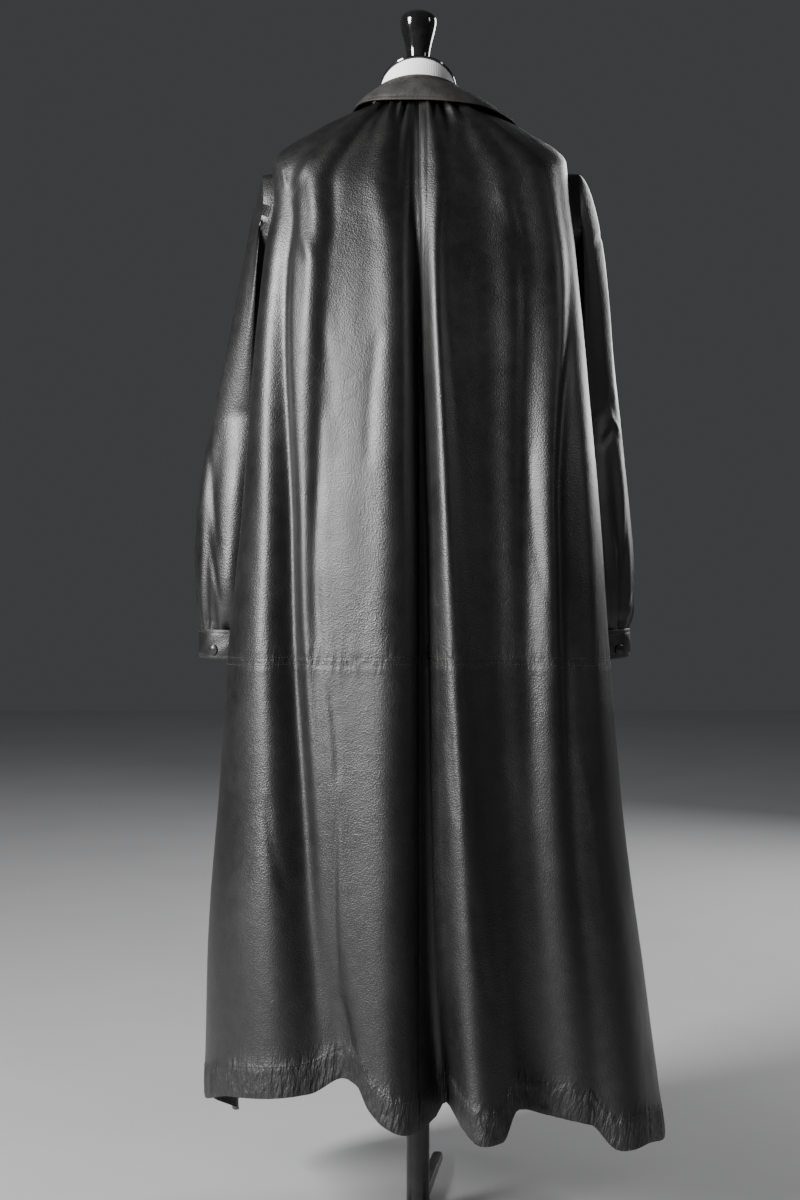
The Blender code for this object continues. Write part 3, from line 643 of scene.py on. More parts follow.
class NodeKit:
    """Short ways to add and join shader nodes in one tree."""

    def __init__(self, tree: bpy.types.NodeTree) -> None:
        """Keep the tree and its links."""
        self.tree = tree
        self.links = tree.links

    def add(self, kind: str, **values: object) -> bpy.types.Node:
        """Add a node and set its named inputs and properties.

        Args:
            kind: The node's type.
            values: Its inputs and properties, by name.

        Returns:
            The new node.
        """
        node = self.tree.nodes.new(kind)
        for name, value in values.items():
            label = name.replace("_", " ").title()
            if label in node.inputs:
                node.inputs[label].default_value = value
            else:
                setattr(node, name, value)
        return node

    def join(self, start: bpy.types.NodeSocket, end: bpy.types.NodeSocket) -> None:
        """Link one socket to another."""
        self.links.new(start, end)

    def math(self, operation: str, first: object, second: object) -> bpy.types.NodeSocket:
        """Combine two sockets or numbers with a Math node.

        Args:
            operation: What the node does.
            first: A socket or a number.
            second: A socket or a number.

        Returns:
            The node's result.
        """
        node = self.tree.nodes.new("ShaderNodeMath")
        node.operation = operation
        for place, value in enumerate((first, second)):
            if isinstance(value, bpy.types.NodeSocket):
                self.links.new(value, node.inputs[place])
            else:
                node.inputs[place].default_value = value
        return node.outputs[0]

    def texture(self, kind: str, place: bpy.types.NodeSocket, **values: object) -> bpy.types.Node:
        """Add a texture that reads a place.

        Args:
            kind: The texture's kind, such as Noise.
            place: The place that it reads.
            values: Its inputs and properties, by name.

        Returns:
            The texture's node.
        """
        node = self.add(f"ShaderNodeTex{kind}", **values)
        self.links.new(place, node.inputs["Vector"])
        return node

    def place(self) -> bpy.types.NodeSocket:
        """Place in the object's own coordinates."""
        return self.add("ShaderNodeTexCoord").outputs["Object"]

    def mark(self, name: str) -> bpy.types.NodeSocket:
        """Value of one of the mesh's attributes."""
        return self.add("ShaderNodeAttribute", attribute_name=name).outputs["Fac"]

    def plus(self, total: object, value: object, factor: float) -> bpy.types.NodeSocket:
        """Add a value, times a factor, to a total."""
        return self.math("ADD", total, self.math("MULTIPLY", value, factor))

    def relief(self, height: bpy.types.NodeSocket, distance: float,
               strength: float = 1.0) -> bpy.types.Node:
        """Add a Bump node that reads a height.

        Args:
            height: The height, from 0 to 1.
            distance: How tall 1 is, in metres.
            strength: How much of it shows.

        Returns:
            The node.
        """
        node = self.add("ShaderNodeBump", strength=strength, distance=distance)
        self.links.new(height, node.inputs["Height"])
        return node

    def ramp(self, value: bpy.types.NodeSocket, low: float, high: float,
             start: float, end: float) -> bpy.types.NodeSocket:
        """Map a value from one range to another, clamped.

        Args:
            value: The value.
            low: Start of its range.
            high: End of its range.
            start: What the low end becomes.
            end: What the high end becomes.

        Returns:
            The new value.
        """
        node = self.tree.nodes.new("ShaderNodeMapRange")
        for name, number in (("From Min", low), ("From Max", high),
                             ("To Min", start), ("To Max", end)):
            node.inputs[name].default_value = number
        self.links.new(value, node.inputs["Value"])
        return node.outputs["Result"]

    def blend(self, mask: bpy.types.NodeSocket, low: object, high: object) -> bpy.types.NodeSocket:
        """Mix two colours by a mask.

        Args:
            mask: 0 for the first colour and 1 for the second.
            low: The first colour.
            high: The second colour.

        Returns:
            The mixed colour.
        """
        node = self.tree.nodes.new("ShaderNodeMix")
        node.data_type = "RGBA"
        self.links.new(mask, node.inputs["Factor"])
        for place, value in ((6, low), (7, high)):
            if isinstance(value, bpy.types.NodeSocket):
                self.links.new(value, node.inputs[place])
            else:
                node.inputs[place].default_value = (*value, 1.0)
        return node.outputs[2]


def leather_group() -> bpy.types.NodeTree:
    """Shader group of nappa leather: pebble grain, fine wrinkles and mottling.

    Returns:
        The group, with Vector, Grain and Wrinkle inputs and Height, Mottle, Cloud
        and Line outputs.
    """
    found = bpy.data.node_groups.get("nappa_surface")
    if found:
        return found
    tree = bpy.data.node_groups.new("nappa_surface", "ShaderNodeTree")
    tree.interface.new_socket("Vector", in_out="INPUT", socket_type="NodeSocketVector")
    for name, value in (("Grain", 620.0), ("Wrinkle", 36.0)):
        socket = tree.interface.new_socket(name, in_out="INPUT", socket_type="NodeSocketFloat")
        socket.default_value = value
    for name in ("Height", "Mottle", "Cloud", "Line"):
        tree.interface.new_socket(name, in_out="OUTPUT", socket_type="NodeSocketFloat")
    kit = NodeKit(tree)
    entry = tree.nodes.new("NodeGroupInput")
    result = tree.nodes.new("NodeGroupOutput")
    place = entry.outputs["Vector"]

    pebble = kit.texture("Voronoi", place, feature="SMOOTH_F1", smoothness=0.45)
    kit.join(entry.outputs["Grain"], pebble.inputs["Scale"])
    pores = kit.texture("Noise", place, scale=1400.0, detail=2.0, roughness=0.6)
    lumps = kit.texture("Noise", place, scale=62.0, detail=5.0, roughness=0.62)
    cloud = kit.texture("Noise", place, scale=9.0, detail=4.0, roughness=0.58)

    warp = kit.texture("Noise", place, scale=26.0, detail=3.0, roughness=0.55)
    shift = kit.add("ShaderNodeVectorMath", operation="MULTIPLY_ADD")
    kit.join(warp.outputs["Color"], shift.inputs[0])
    shift.inputs[1].default_value = (0.030, 0.030, 0.030)
    kit.join(place, shift.inputs[2])
    wrinkle = kit.texture("Voronoi", shift.outputs[0], feature="DISTANCE_TO_EDGE")
    kit.join(entry.outputs["Wrinkle"], wrinkle.inputs["Scale"])
    line = kit.ramp(wrinkle.outputs["Distance"], 0.0, 0.055, 1.0, 0.0)
    patch = kit.ramp(cloud.outputs["Fac"], 0.52, 0.70, 0.0, 1.0)
    line = kit.math("MULTIPLY", line, patch)

    height = kit.math("MULTIPLY", pebble.outputs["Distance"], 0.55)
    height = kit.plus(height, pores.outputs["Fac"], 0.16)
    height = kit.plus(height, lumps.outputs["Fac"], 0.80)
    height = kit.math("SUBTRACT", height, kit.math("MULTIPLY", line, 0.30))
    kit.join(height, result.inputs["Height"])
    kit.join(lumps.outputs["Fac"], result.inputs["Mottle"])
    kit.join(cloud.outputs["Fac"], result.inputs["Cloud"])
    kit.join(line, result.inputs["Line"])
    return tree


def new_material(name: str) -> tuple[bpy.types.Material, NodeKit, bpy.types.Node]:
    """Start a node material.

    Args:
        name: Its name.

    Returns:
        The material, a kit for its tree, and its Principled shader.
    """
    material = bpy.data.materials.new(name)
    material.use_nodes = True
    return material, NodeKit(material.node_tree), material.node_tree.nodes["Principled BSDF"]


@dataclass(frozen=True)
class LeatherFinish:
    """Dyed nappa leather with a soft gloss."""

    name: str
    deep: tuple[float, float, float] = (0.0030, 0.0029, 0.0028)
    light: tuple[float, float, float] = (0.0078, 0.0076, 0.0073)
    rubbed: tuple[float, float, float] = (0.020, 0.019, 0.0175)
    gloss: tuple[float, float] = (0.36, 0.48)
    grain: float = 620.0
    wrinkle: float = 36.0
    relief: float = 0.00050
    coat: float = 0.12
    pucker_pitch: float = 170.0
    pucker_drop: float = 48.0
    pucker_depth: float = 0.0042

    def material(self) -> bpy.types.Material:
        """Build the finish's shader."""
        material, kit, shader = new_material(self.name)
        place = kit.place()
        group = kit.tree.nodes.new("ShaderNodeGroup")
        group.node_tree = leather_group()
        group.inputs["Grain"].default_value = self.grain
        group.inputs["Wrinkle"].default_value = self.wrinkle
        kit.join(place, group.inputs["Vector"])
        wear, gathered = kit.mark("wear"), kit.mark("pucker")
        tone = kit.ramp(group.outputs["Mottle"], 0.36, 0.66, 0.0, 1.0)
        colour = kit.blend(tone, self.deep, self.light)
        rub = kit.math("MULTIPLY", wear, kit.ramp(group.outputs["Mottle"], 0.42, 0.62, 0.25, 1.0))
        colour = kit.blend(rub, colour, self.rubbed)
        kit.join(colour, shader.inputs["Base Color"])
        rough = kit.ramp(group.outputs["Cloud"], 0.34, 0.66, self.gloss[0], self.gloss[1])
        for value, factor in ((wear, 0.10), (group.outputs["Line"], 0.05), (gathered, 0.12)):
            rough = kit.plus(rough, value, factor)
        kit.join(rough, shader.inputs["Roughness"])
        relief = kit.relief(group.outputs["Height"], self.relief)
        kit.join(self.puckers(kit, place, gathered), relief.inputs["Normal"])
        kit.join(relief.outputs["Normal"], shader.inputs["Normal"])
        shader.inputs["Coat Weight"].default_value = self.coat
        shader.inputs["Coat Roughness"].default_value = 0.38
        shader.inputs["Specular IOR Level"].default_value = 0.62
        return material

    def puckers(self, kit: NodeKit, place: bpy.types.NodeSocket,
                gathered: bpy.types.NodeSocket) -> bpy.types.NodeSocket:
        """Small uneven ridges across a gathered seam or hem, from the cloth's own lengths.

        Args:
            kit: The material's nodes.
            place: Its place on the object.
            gathered: How gathered the cloth is there, from 0 to 1.

        Returns:
            The normal with the ridges.
        """
        split = kit.add("ShaderNodeSeparateXYZ")
        kit.join(place, split.inputs[0])
        spot = kit.add("ShaderNodeCombineXYZ")
        kit.join(kit.math("MULTIPLY", kit.mark("run"), self.pucker_pitch), spot.inputs["X"])
        kit.join(kit.math("MULTIPLY", split.outputs["Z"], self.pucker_drop), spot.inputs["Y"])
        ridge = kit.texture("Noise", spot.outputs[0], scale=1.0, detail=2.5, roughness=0.55,
                            distortion=0.35)
        height = kit.math("MULTIPLY", ridge.outputs["Fac"], gathered)
        return kit.relief(height, self.pucker_depth).outputs["Normal"]


@dataclass(frozen=True)
class JerseyFinish:
    """Fine white jersey stretched over the form."""

    name: str = "white_jersey"
    yarn: float = 900.0

    def material(self) -> bpy.types.Material:
        """Build the jersey's shader."""
        material, kit, shader = new_material(self.name)
        place = kit.place()
        rows = kit.texture("Wave", place, bands_direction="Z", scale=self.yarn * 0.16,
                           distortion=1.5, detail=1.0)
        ribs = kit.texture("Wave", place, bands_direction="X", scale=self.yarn * 0.12,
                           distortion=1.2, detail=1.0)
        dust = kit.texture("Noise", place, scale=30.0, detail=4.0)
        knit = kit.math("MULTIPLY", rows.outputs["Fac"], ribs.outputs["Fac"])
        shade = kit.ramp(dust.outputs["Fac"], 0.3, 0.7, 0.0, 1.0)
        kit.join(kit.blend(shade, (0.90, 0.90, 0.89), (0.95, 0.95, 0.94)),
                 shader.inputs["Base Color"])
        kit.join(kit.ramp(knit, 0.0, 1.0, 0.78, 0.90), shader.inputs["Roughness"])
        kit.join(kit.relief(knit, 0.0002, 0.6).outputs["Normal"], shader.inputs["Normal"])
        shader.inputs["Sheen Weight"].default_value = 0.25
        return material


@dataclass(frozen=True)
class LacquerFinish:
    """Painted or lacquered hard pieces, with faint wipes and dust."""

    name: str
    colour: tuple[float, float, float] = (0.006, 0.006, 0.006)
    gloss: tuple[float, float] = (0.06, 0.14)
    relief: float = 0.00003
    coat: float = 0.6
    metallic: float = 0.0

    def material(self) -> bpy.types.Material:
        """Build the lacquer's shader."""
        material, kit, shader = new_material(self.name)
        place = kit.place()
        wipes = kit.texture("Noise", place, scale=46.0, detail=5.0, roughness=0.6)
        skin = kit.texture("Noise", place, scale=420.0, detail=2.0)
        pale = tuple(channel * 2.2 + 0.004 for channel in self.colour)
        mask = kit.ramp(wipes.outputs["Fac"], 0.42, 0.72, 0.0, 1.0)
        kit.join(kit.blend(mask, self.colour, pale), shader.inputs["Base Color"])
        kit.join(kit.ramp(wipes.outputs["Fac"], 0.35, 0.65, *self.gloss),
                 shader.inputs["Roughness"])
        relief = kit.relief(skin.outputs["Fac"], self.relief, 0.5)
        kit.join(relief.outputs["Normal"], shader.inputs["Normal"])
        shader.inputs["Coat Weight"].default_value = self.coat
        shader.inputs["Coat Roughness"].default_value = 0.05
        shader.inputs["Metallic"].default_value = self.metallic
        return material


@dataclass(frozen=True)
class ThreadFinish:
    """Waxed black sewing thread."""

    name: str = "black_thread"

    def material(self) -> bpy.types.Material:
        """Build the thread's shader."""
        material, kit, shader = new_material(self.name)
        twist = kit.texture("Noise", kit.place(), scale=1500.0, detail=1.0)
        kit.join(kit.blend(twist.outputs["Fac"], (0.012, 0.012, 0.012), (0.040, 0.038, 0.036)),
                 shader.inputs["Base Color"])
        kit.join(kit.ramp(twist.outputs["Fac"], 0.3, 0.7, 0.42, 0.60),
                 shader.inputs["Roughness"])
        return material


@dataclass
class Seamstress:
    """Sews rows of stitches as one mesh each."""

    thread: bpy.types.Material
    pitch: float = 0.0036
    length: float = 0.0026
    radius: float = 0.00038
    sides: int = 5

    def sew(self, name: str, lines: Sequence[tuple[Array, Array]],
            slot: Slot = Slot.LEATHER) -> bpy.types.Object:
        """Lay stitches along lines of places with their directions out.

        Args:
            name: The piece's name.
            lines: Pairs of places and directions out, row by row.
            slot: The record's slot that the thread goes with; not used.

        Returns:
            One joined mesh of stitches.
        """
        corners: list[Array] = []
        faces: list[tuple[int, ...]] = []
        turn = np.linspace(0.0, 2.0 * math.pi, self.sides, endpoint=False)
        for places, outs in lines:
            run = arcs(places, 0)
            centres = np.arange(self.pitch, run[-1] - self.pitch, self.pitch)
            middle = np.stack([np.interp(centres, run, places[:, k]) for k in range(3)], -1)
            out = np.stack([np.interp(centres, run, outs[:, k]) for k in range(3)], -1)
            ahead, out = unit(np.gradient(middle, axis=0)), unit(out)
            side = np.cross(ahead, out)
            for spot, along, up, beside in zip(middle, ahead, out, side):
                base = len(corners) * self.sides
                for share, size, sink in ((-0.5, 0.45, -0.7), (-0.25, 1.0, 0.1),
                                          (0.25, 1.0, 0.1), (0.5, 0.45, -0.7)):
                    ring = (spot + along * self.length * share + up * self.radius * sink
                            + self.radius * size * (np.cos(turn)[:, None] * up
                                                    + np.sin(turn)[:, None] * beside))
                    corners.append(ring)
                for hoop in range(3):
                    for here in range(self.sides):
                        beside_it = (here + 1) % self.sides
                        low, high = base + hoop * self.sides, base + (hoop + 1) * self.sides
                        faces.append((low + here, low + beside_it, high + beside_it, high + here))
                faces.append(tuple(base + k for k in reversed(range(self.sides))))
                faces.append(tuple(base + 3 * self.sides + k for k in range(self.sides)))
        mesh = bpy.data.meshes.new(name)
        mesh.from_pydata(np.concatenate(corners).tolist(), [], faces)
        mesh.update()
        piece = bpy.data.objects.new(name, mesh)
        bpy.context.scene.collection.objects.link(piece)
        pick(piece)
        with edit_mode():
            bpy.ops.mesh.normals_make_consistent(inside=False)
        bpy.ops.object.shade_smooth()
        return settle(piece, name, self.thread)


@dataclass
class Panel:
    """One cut panel of the body as a grid with its lengths and detail heights."""

    body: CoatBody
    angle: Array
    station: Array
    lift: Array
    groove: float = 0.0014
    edge: float = 0.003
    crease_end: float = 0.22
    hip_pitch: float = 0.0125
    hip_allowance: float = 0.0125
    hip_reach_below: float = 0.013
    hip_reach_above: float = 0.016
    hip_soft: float = 0.011
    hem_pitches: tuple[float, float] = (0.0102, 0.0061)
    hem_reach: float = 0.010
    hem_flat: float = 0.012
    hem_slant: float = 0.10

    def __post_init__(self) -> None:
        """Work out the plain places, directions out and lengths."""
        self.base = self.body.point(self.angle, self.station, self.lift)
        self.out = grid_normals(self.base)
        self.across = self.body.across(wrapped(self.angle))
        self.run = arcs(self.base, 1)
        self.down = arcs(self.base, 0)
        self.height = np.zeros_like(self.angle)
        self.wear = np.zeros_like(self.angle)
        self.pucker = np.zeros_like(self.angle)

    @property
    def points(self) -> Array:
        """Finished outer places."""
        return self.base + self.out * self.height[..., None]

    @property
    def right_run(self) -> Array:
        """Length from each place to the panel's last column."""
        return self.run[:, -1:] - self.run

    @property
    def up(self) -> Array:
        """Length from each place to the panel's last row."""
        return self.down[-1:, :] - self.down

    def add(self, height: Array) -> None:
        """Raise the panel by a height in millimetres."""
        self.height = self.height + height * MM

    def add_gathers(self) -> None:
        """Draw the gathers below the neck seam."""
        for gather in GATHERS:
            share = np.clip(self.station / gather.reach, 0.0, 1.0)
            centre = gather.top + (gather.end - gather.top) * share
            fade = (1.0 - ease(share)) * ease(0.35 + self.station * 4.0)
            self.add(gather.depth * fade * bump(self.across - centre, gather.width))

    def add_creases(self, creases: Sequence[Crease], front: bool) -> None:
        """Press soft troughs and ridges into the cloth.

        Args:
            creases: The table of creases.
            front: Whether they lie on the fronts.
        """
        x, z = self.base[..., 0], self.base[..., 2]
        facing = (np.abs(wrapped(self.angle)) > 96.0) == front
        for crease in creases:
            start = np.array((crease.x0, crease.z0))
            way = np.array((crease.x1, crease.z1)) - start
            length = float(np.hypot(*way))
            way = way / length
            along = ((x - start[0]) * way[0] + (z - start[1]) * way[1]) / length
            bend = crease.bow * np.sin(np.clip(along, 0.0, 1.0) * math.pi)
            off = (x - start[0]) * way[1] - (z - start[1]) * way[0] - bend
            ends = ease(along / self.crease_end) * ease((1.0 - along) / self.crease_end)
            self.add(crease.depth * ends * facing * bump(off, crease.width * MM))

    def add_lumps(self, seed: float) -> None:
        """Add the faint, broad unevenness of hanging leather."""
        x, y, z = (self.base[..., k] for k in range(3))
        side = x + 0.6 * y
        wave = (np.sin(side * 61.0 + 2.2 * np.sin(z * 13.0 + seed) + seed)
                + 0.8 * np.sin(side * 97.0 + z * 21.0 + 1.7 * seed)
                + 0.7 * np.sin(z * 47.0 + 1.9 * np.sin(side * 31.0 + seed)))
        fine = np.sin(side * 210.0 + 2.0 * np.sin(z * 60.0 + seed)) * np.sin(z * 150.0 + seed)
        self.add(0.12 * wave + 0.06 * fine)

    def add_seam(self, distance: Array, width: float = 2.2, depth: float = 1.3) -> None:
        """Press a seam's groove at the panel's edge.

        Args:
            distance: Length to the seam.
            width: Half width of the groove, in millimetres.
            depth: Its depth, in millimetres.
        """
        self.add(-depth * bump(distance, width * MM))
        self.wear = np.maximum(self.wear, 0.12 * bump(distance - 0.0032, 0.0022))

    def add_hip_puckers(self, distance: Array, above: bool, seed: float) -> None:
        """Pucker the cloth beside the hip seam.

        Args:
            distance: Length to the seam.
            above: Whether this is the upper panel.
            seed: Offset of the uneven waves.
        """
        reach = self.hip_reach_above if above else self.hip_reach_below
        girth = self.base[..., 0] + 0.7 * self.base[..., 1]
        swell = 0.35 + 0.65 * np.abs(np.sin(girth * 23.0 + seed))
        wave = ripple(self.run + seed, self.hip_pitch, seed)
        clear = ease(distance / self.edge)
        self.add(1.0 * swell * wave * np.exp(-distance / reach) * clear)
        self.pucker = np.maximum(self.pucker, 0.45 * swell * np.exp(-distance / self.hip_soft))
        if not above:
            turned_up = ease(1.0 - (distance - self.hip_allowance) / self.edge) * clear
            self.add(0.15 * turned_up - 0.5 * bump(distance - HIP_STITCH, self.groove))
        else:
            self.add(-0.4 * bump(distance - HIP_STITCH, self.groove))

    def add_hem(self, distance: Array, band: float, seed: float) -> None:
        """Turn up and pucker the hem band.

        Args:
            distance: Length to the hem's edge.
            band: Height of the turned-up band.
            seed: Offset of the uneven waves.
        """
        inside = ease(1.0 - (distance - band) / self.edge)
        fade = np.where(distance > band, np.exp(-(distance - band) / self.hem_reach), 1.0)
        slant = self.run + self.hem_slant * distance
        broad, fine = self.hem_pitches
        wave = ripple(slant, broad, seed) + 0.5 * ripple(slant, fine, seed + 1.3)
        strength = 0.35 + 0.65 * ease(distance / self.hem_flat)
        self.add(0.95 * wave * fade * strength + 0.5 * inside)
        self.add(-0.8 * bump(distance - band, self.groove) - 0.6 * bump(distance, 0.0018))
        self.pucker = np.maximum(self.pucker, fade)
        self.wear = np.maximum(self.wear, 0.10 * inside + 0.20 * bump(distance, self.edge))

    def line(self, distance: Array, value: float, lift: float, down: bool = False) -> Line:
        """Line where a length has one value, across the panel or down it.

        Args:
            distance: A length at each of the panel's points.
            value: The length that the line keeps.
            lift: How far the line stands off the leather.
            down: Whether the line runs down the panel.

        Returns:
            Its places and directions out.
        """
        points, out = self.points, self.out
        if down:
            points, out, distance = points.swapaxes(0, 1), out.swapaxes(0, 1), distance.T
        return trace(points, out, distance, value, lift)


@dataclass
class CoatPanels:
    """The back, the fronts and their skirts."""

    body: CoatBody
    leather: bpy.types.Material
    seamstress: Seamstress
    seam_gap: float = 0.0002
    hem_band: float = 0.036
    strip: float = 0.0105
    strip_edge: float = 0.0022
    lap_angle: float = 6.0
    lap_start: float = 12.0
    lap: float = 0.0023
    back_columns: int = 156
    front_columns: int = 84
    upper_rows: int = 150
    lower_rows: int = 134

    def opening(self, edge: str, stations: Array) -> Array:
        """How far the armhole opens at each station, in degrees."""
        return smooth(column(ARMHOLE, "station"), column(ARMHOLE, edge), stations) * (
            (stations > ARMHOLE[0].station) & (stations < ARMHOLE[-1].station))

    def spread(self, start: Array, end: Array, opening: Array, count: int) -> Array:
        """Angles from start to end, drawn back near the armhole.

        Args:
            start: First angle of each row.
            end: Last angle of each row.
            opening: How far the armhole opens in each row.
            count: Columns of the panel.

        Returns:
            Angles, rows down and columns along.
        """
        share = np.linspace(0.0, 1.0, count)
        plain = start[:, None] + (end - start)[:, None] * share[None, :]
        return plain - opening[:, None] * share[None, :]**2.5

    def grid(self, side: Side, back: bool, stations: Array) -> Panel:
        """Lay out one panel's grid.

        Args:
            side: Left or right.
            back: Whether it is a back panel.
            stations: Its rows.

        Returns:
            The panel, still plain.
        """
        gap = np.degrees(0.5 * self.seam_gap / smooth(range(len(RINGS)),
                                                      column(RINGS, "right"), stations))
        seam = self.body.seam_angle
        if back:
            angles = self.spread(gap, seam - gap, self.opening("back", stations),
                                 self.back_columns)
        else:
            centre = np.full_like(gap, 180.0 + self.lap_angle)
            angles = self.spread(centre, seam + gap, -self.opening("front", stations),
                                 self.front_columns)[:, ::-1]
        lift = np.zeros_like(angles)
        if side is Side.LEFT:
            angles = -angles[:, ::-1]
        elif not back:
            lift = self.lap * ease((angles - (180.0 - self.lap_angle - self.lap_start))
                                   / self.lap_start)
        rows = np.repeat(stations[:, None], angles.shape[1], axis=1)
        return Panel(self.body, angles, rows, lift)

    def centre_strip(self, panel: Panel, distance: Array, topstitched: bool) -> None:
        """Shape the centre-back seam, and its raised strip where it is topstitched.

        Args:
            panel: The back panel.
            distance: Length to the centre-back seam.
            topstitched: Whether the strip lies on this panel.
        """
        panel.add_seam(distance, width=1.6, depth=1.2)
        if topstitched:
            raised = ease(1.0 - (distance - self.strip) / 0.0016)
            panel.add(0.75 * raised - 0.9 * bump(distance - self.strip, 0.0012))

    def build_panel(self, side: Side, back: bool, upper: bool) -> Panel:
        """Shape and make one panel.

        Args:
            side: Left or right.
            back: Back or front panel.
            upper: Above or below the hip seam.

        Returns:
            The finished panel's grid.
        """
        seed = 1.3 * side.value + 2.1 * back + 0.7 * upper
        span = (NECK, HIP, self.upper_rows) if upper else (HIP, HEM, self.lower_rows)
        stations = self.body.even_rows(*span)
        if not upper:
            stations[0] += self.seam_gap / (RINGS[HIP].side_z - RINGS[THIGH].side_z)
        panel = self.grid(side, back, stations)
        panel.add_lumps(seed)
        panel.add_creases(BACK_CREASES if back else FRONT_CREASES, front=not back)
        if upper:
            panel.add_gathers()
            panel.add_hip_puckers(panel.up, True, seed)
            panel.add_seam(panel.up, width=1.6, depth=0.4)
        else:
            panel.add_hip_puckers(panel.down, False, seed)
            panel.add_seam(panel.down, width=1.6, depth=0.4)
            panel.add_hem(panel.up, self.hem_band, seed)
        # A right panel's columns run outwards from its centre, a left panel's inwards.
        from_left = side is Side.RIGHT
        if back:
            centre = panel.run if from_left else panel.right_run
            self.centre_strip(panel, centre, topstitched=upper and from_left)
            panel.add_seam(panel.right_run if from_left else panel.run)
        else:
            edge = panel.right_run if from_left else panel.run
            panel.add(-0.7 * bump(edge, 0.0015) - 0.6 * bump(edge - FRONT_STITCH, 0.0012))
            panel.wear = np.maximum(panel.wear, 0.6 * bump(edge, 0.003))
            panel.add_seam(panel.run if from_left else panel.right_run)
        name = self.name(side, back, upper)
        piece = cloth(panel.points, self.body.wall, wear=panel.wear,
                      pucker=panel.pucker, run=panel.run)
        settle(piece, f"leather_{name}", self.leather, [name])
        return panel

    def name(self, side: Side, back: bool, upper: bool) -> str:
        """Name of a panel's node in the frame."""
        return "_".join(("back" if back else "front", "upper" if upper else "skirt", side.word))

    def build(self) -> dict[str, Panel]:
        """Build all eight panels and sew their visible stitch rows.

        Returns:
            The finished panels by name.
        """
        panels: dict[str, Panel] = {}
        for side in Side:
            for back in (True, False):
                for upper in (True, False):
                    panel = self.build_panel(side, back, upper)
                    panels[self.name(side, back, upper)] = panel
        self.sew(panels)
        return panels

    def sew(self, panels: dict[str, Panel]) -> None:
        """Sew the hip, hem, centre and front-edge rows.

        Args:
            panels: The finished panels by name.
        """
        hip = [panel.line(panel.up if "upper" in name else panel.down, HIP_STITCH, 0.0002)
               for name, panel in panels.items()]
        hem = [panel.line(panel.up, self.hem_band, 0.0004)
               for name, panel in panels.items() if "skirt" in name]
        back = panels["back_upper_right"]
        centre = [back.line(back.run, inset, STITCH_LIFT, down=True)
                  for inset in (self.strip, self.strip_edge)]
        fronts = (panels["front_upper_right"], panels["front_skirt_right"])
        edge = [front.line(front.right_run, FRONT_STITCH, STITCH_LIFT, down=True)
                for front in fronts]
        for place, lines in (("hip_seam", hip), ("hem", hem), ("centre_back", centre),
                             ("front_edge", edge)):
            self.seamstress.sew(f"stitches_{place}", lines)


class SleeveRing(NamedTuple):
    """One ring of a hanging sleeve: height, reaches, middle and half depth."""

    name: str
    z: float
    left: float
    right: float
    inner: float
    middle: float
    depth: float


SLEEVE_RINGS = (
    SleeveRing("underarm", 1.015, 0.270, 0.264, 0.152, 0.066, 0.058),
    SleeveRing("elbow", 0.900, 0.289, 0.277, 0.158, 0.062, 0.064),
    SleeveRing("forearm", 0.815, 0.291, 0.283, 0.170, 0.060, 0.064),
    SleeveRing("gathers", 0.770, 0.289, 0.283, 0.176, 0.060, 0.058),
    SleeveRing("wrist", 0.742, 0.284, 0.276, 0.188, 0.060, 0.048),
)


class SleeveFold(NamedTuple):
    """A fold along a sleeve: angle to the back, half width and heights (mm)."""

    angle: float
    width: float
    head: float
    elbow: float
    wrist: float


SLEEVE_FOLDS = (
    SleeveFold(-150.0, 14.0, 0.0, 3.0, -3.0), SleeveFold(-110.0, 14.0, 0.0, -5.0, -4.0),
    SleeveFold(-62.0, 14.0, 0.0, -5.0, -4.0), SleeveFold(-24.0, 12.0, 0.0, 3.0, 3.0),
    SleeveFold(14.0, 13.0, 0.0, -3.0, -4.0), SleeveFold(48.0, 15.0, 0.0, -6.0, -5.0),
    SleeveFold(84.0, 12.0, 0.0, 3.0, 3.0), SleeveFold(118.0, 13.0, 0.0, -4.0, -4.0),
)


class SleeveCrease(NamedTuple):
    """A short crease on a sleeve: angle, height, length, slant, width and depth."""

    angle: float
    z: float
    length: float
    slant: float
    width: float
    depth: float


SLEEVE_CREASES = {
    Side.LEFT: (
        SleeveCrease(20.0, 0.985, 0.090, 0.55, 5.0, -1.6),
        SleeveCrease(50.0, 0.900, 0.110, 0.25, 6.0, -1.8),
        SleeveCrease(10.0, 0.860, 0.080, -0.40, 5.0, 1.5),
        SleeveCrease(60.0, 0.810, 0.070, 0.30, 5.0, -2.2),
        SleeveCrease(-70.0, 0.950, 0.100, 0.40, 6.0, -1.8),
        SleeveCrease(-120.0, 0.880, 0.090, -0.30, 6.0, -1.6),
    ),
    Side.RIGHT: (
        SleeveCrease(38.0, 1.236, 0.050, 1.40, 3.5, -1.8),
        SleeveCrease(48.0, 1.030, 0.040, 1.80, 4.0, -3.2),
        SleeveCrease(40.0, 1.008, 0.046, -1.30, 4.0, 3.0),
        SleeveCrease(52.0, 0.990, 0.036, 1.20, 4.0, -2.6),
        SleeveCrease(30.0, 0.870, 0.120, 0.20, 6.0, -1.8),
        SleeveCrease(15.0, 0.790, 0.050, 0.90, 3.5, -1.6),
        SleeveCrease(-80.0, 0.960, 0.100, -0.40, 6.0, -1.8),
        SleeveCrease(-130.0, 0.860, 0.090, 0.30, 6.0, -1.6),
    ),
}


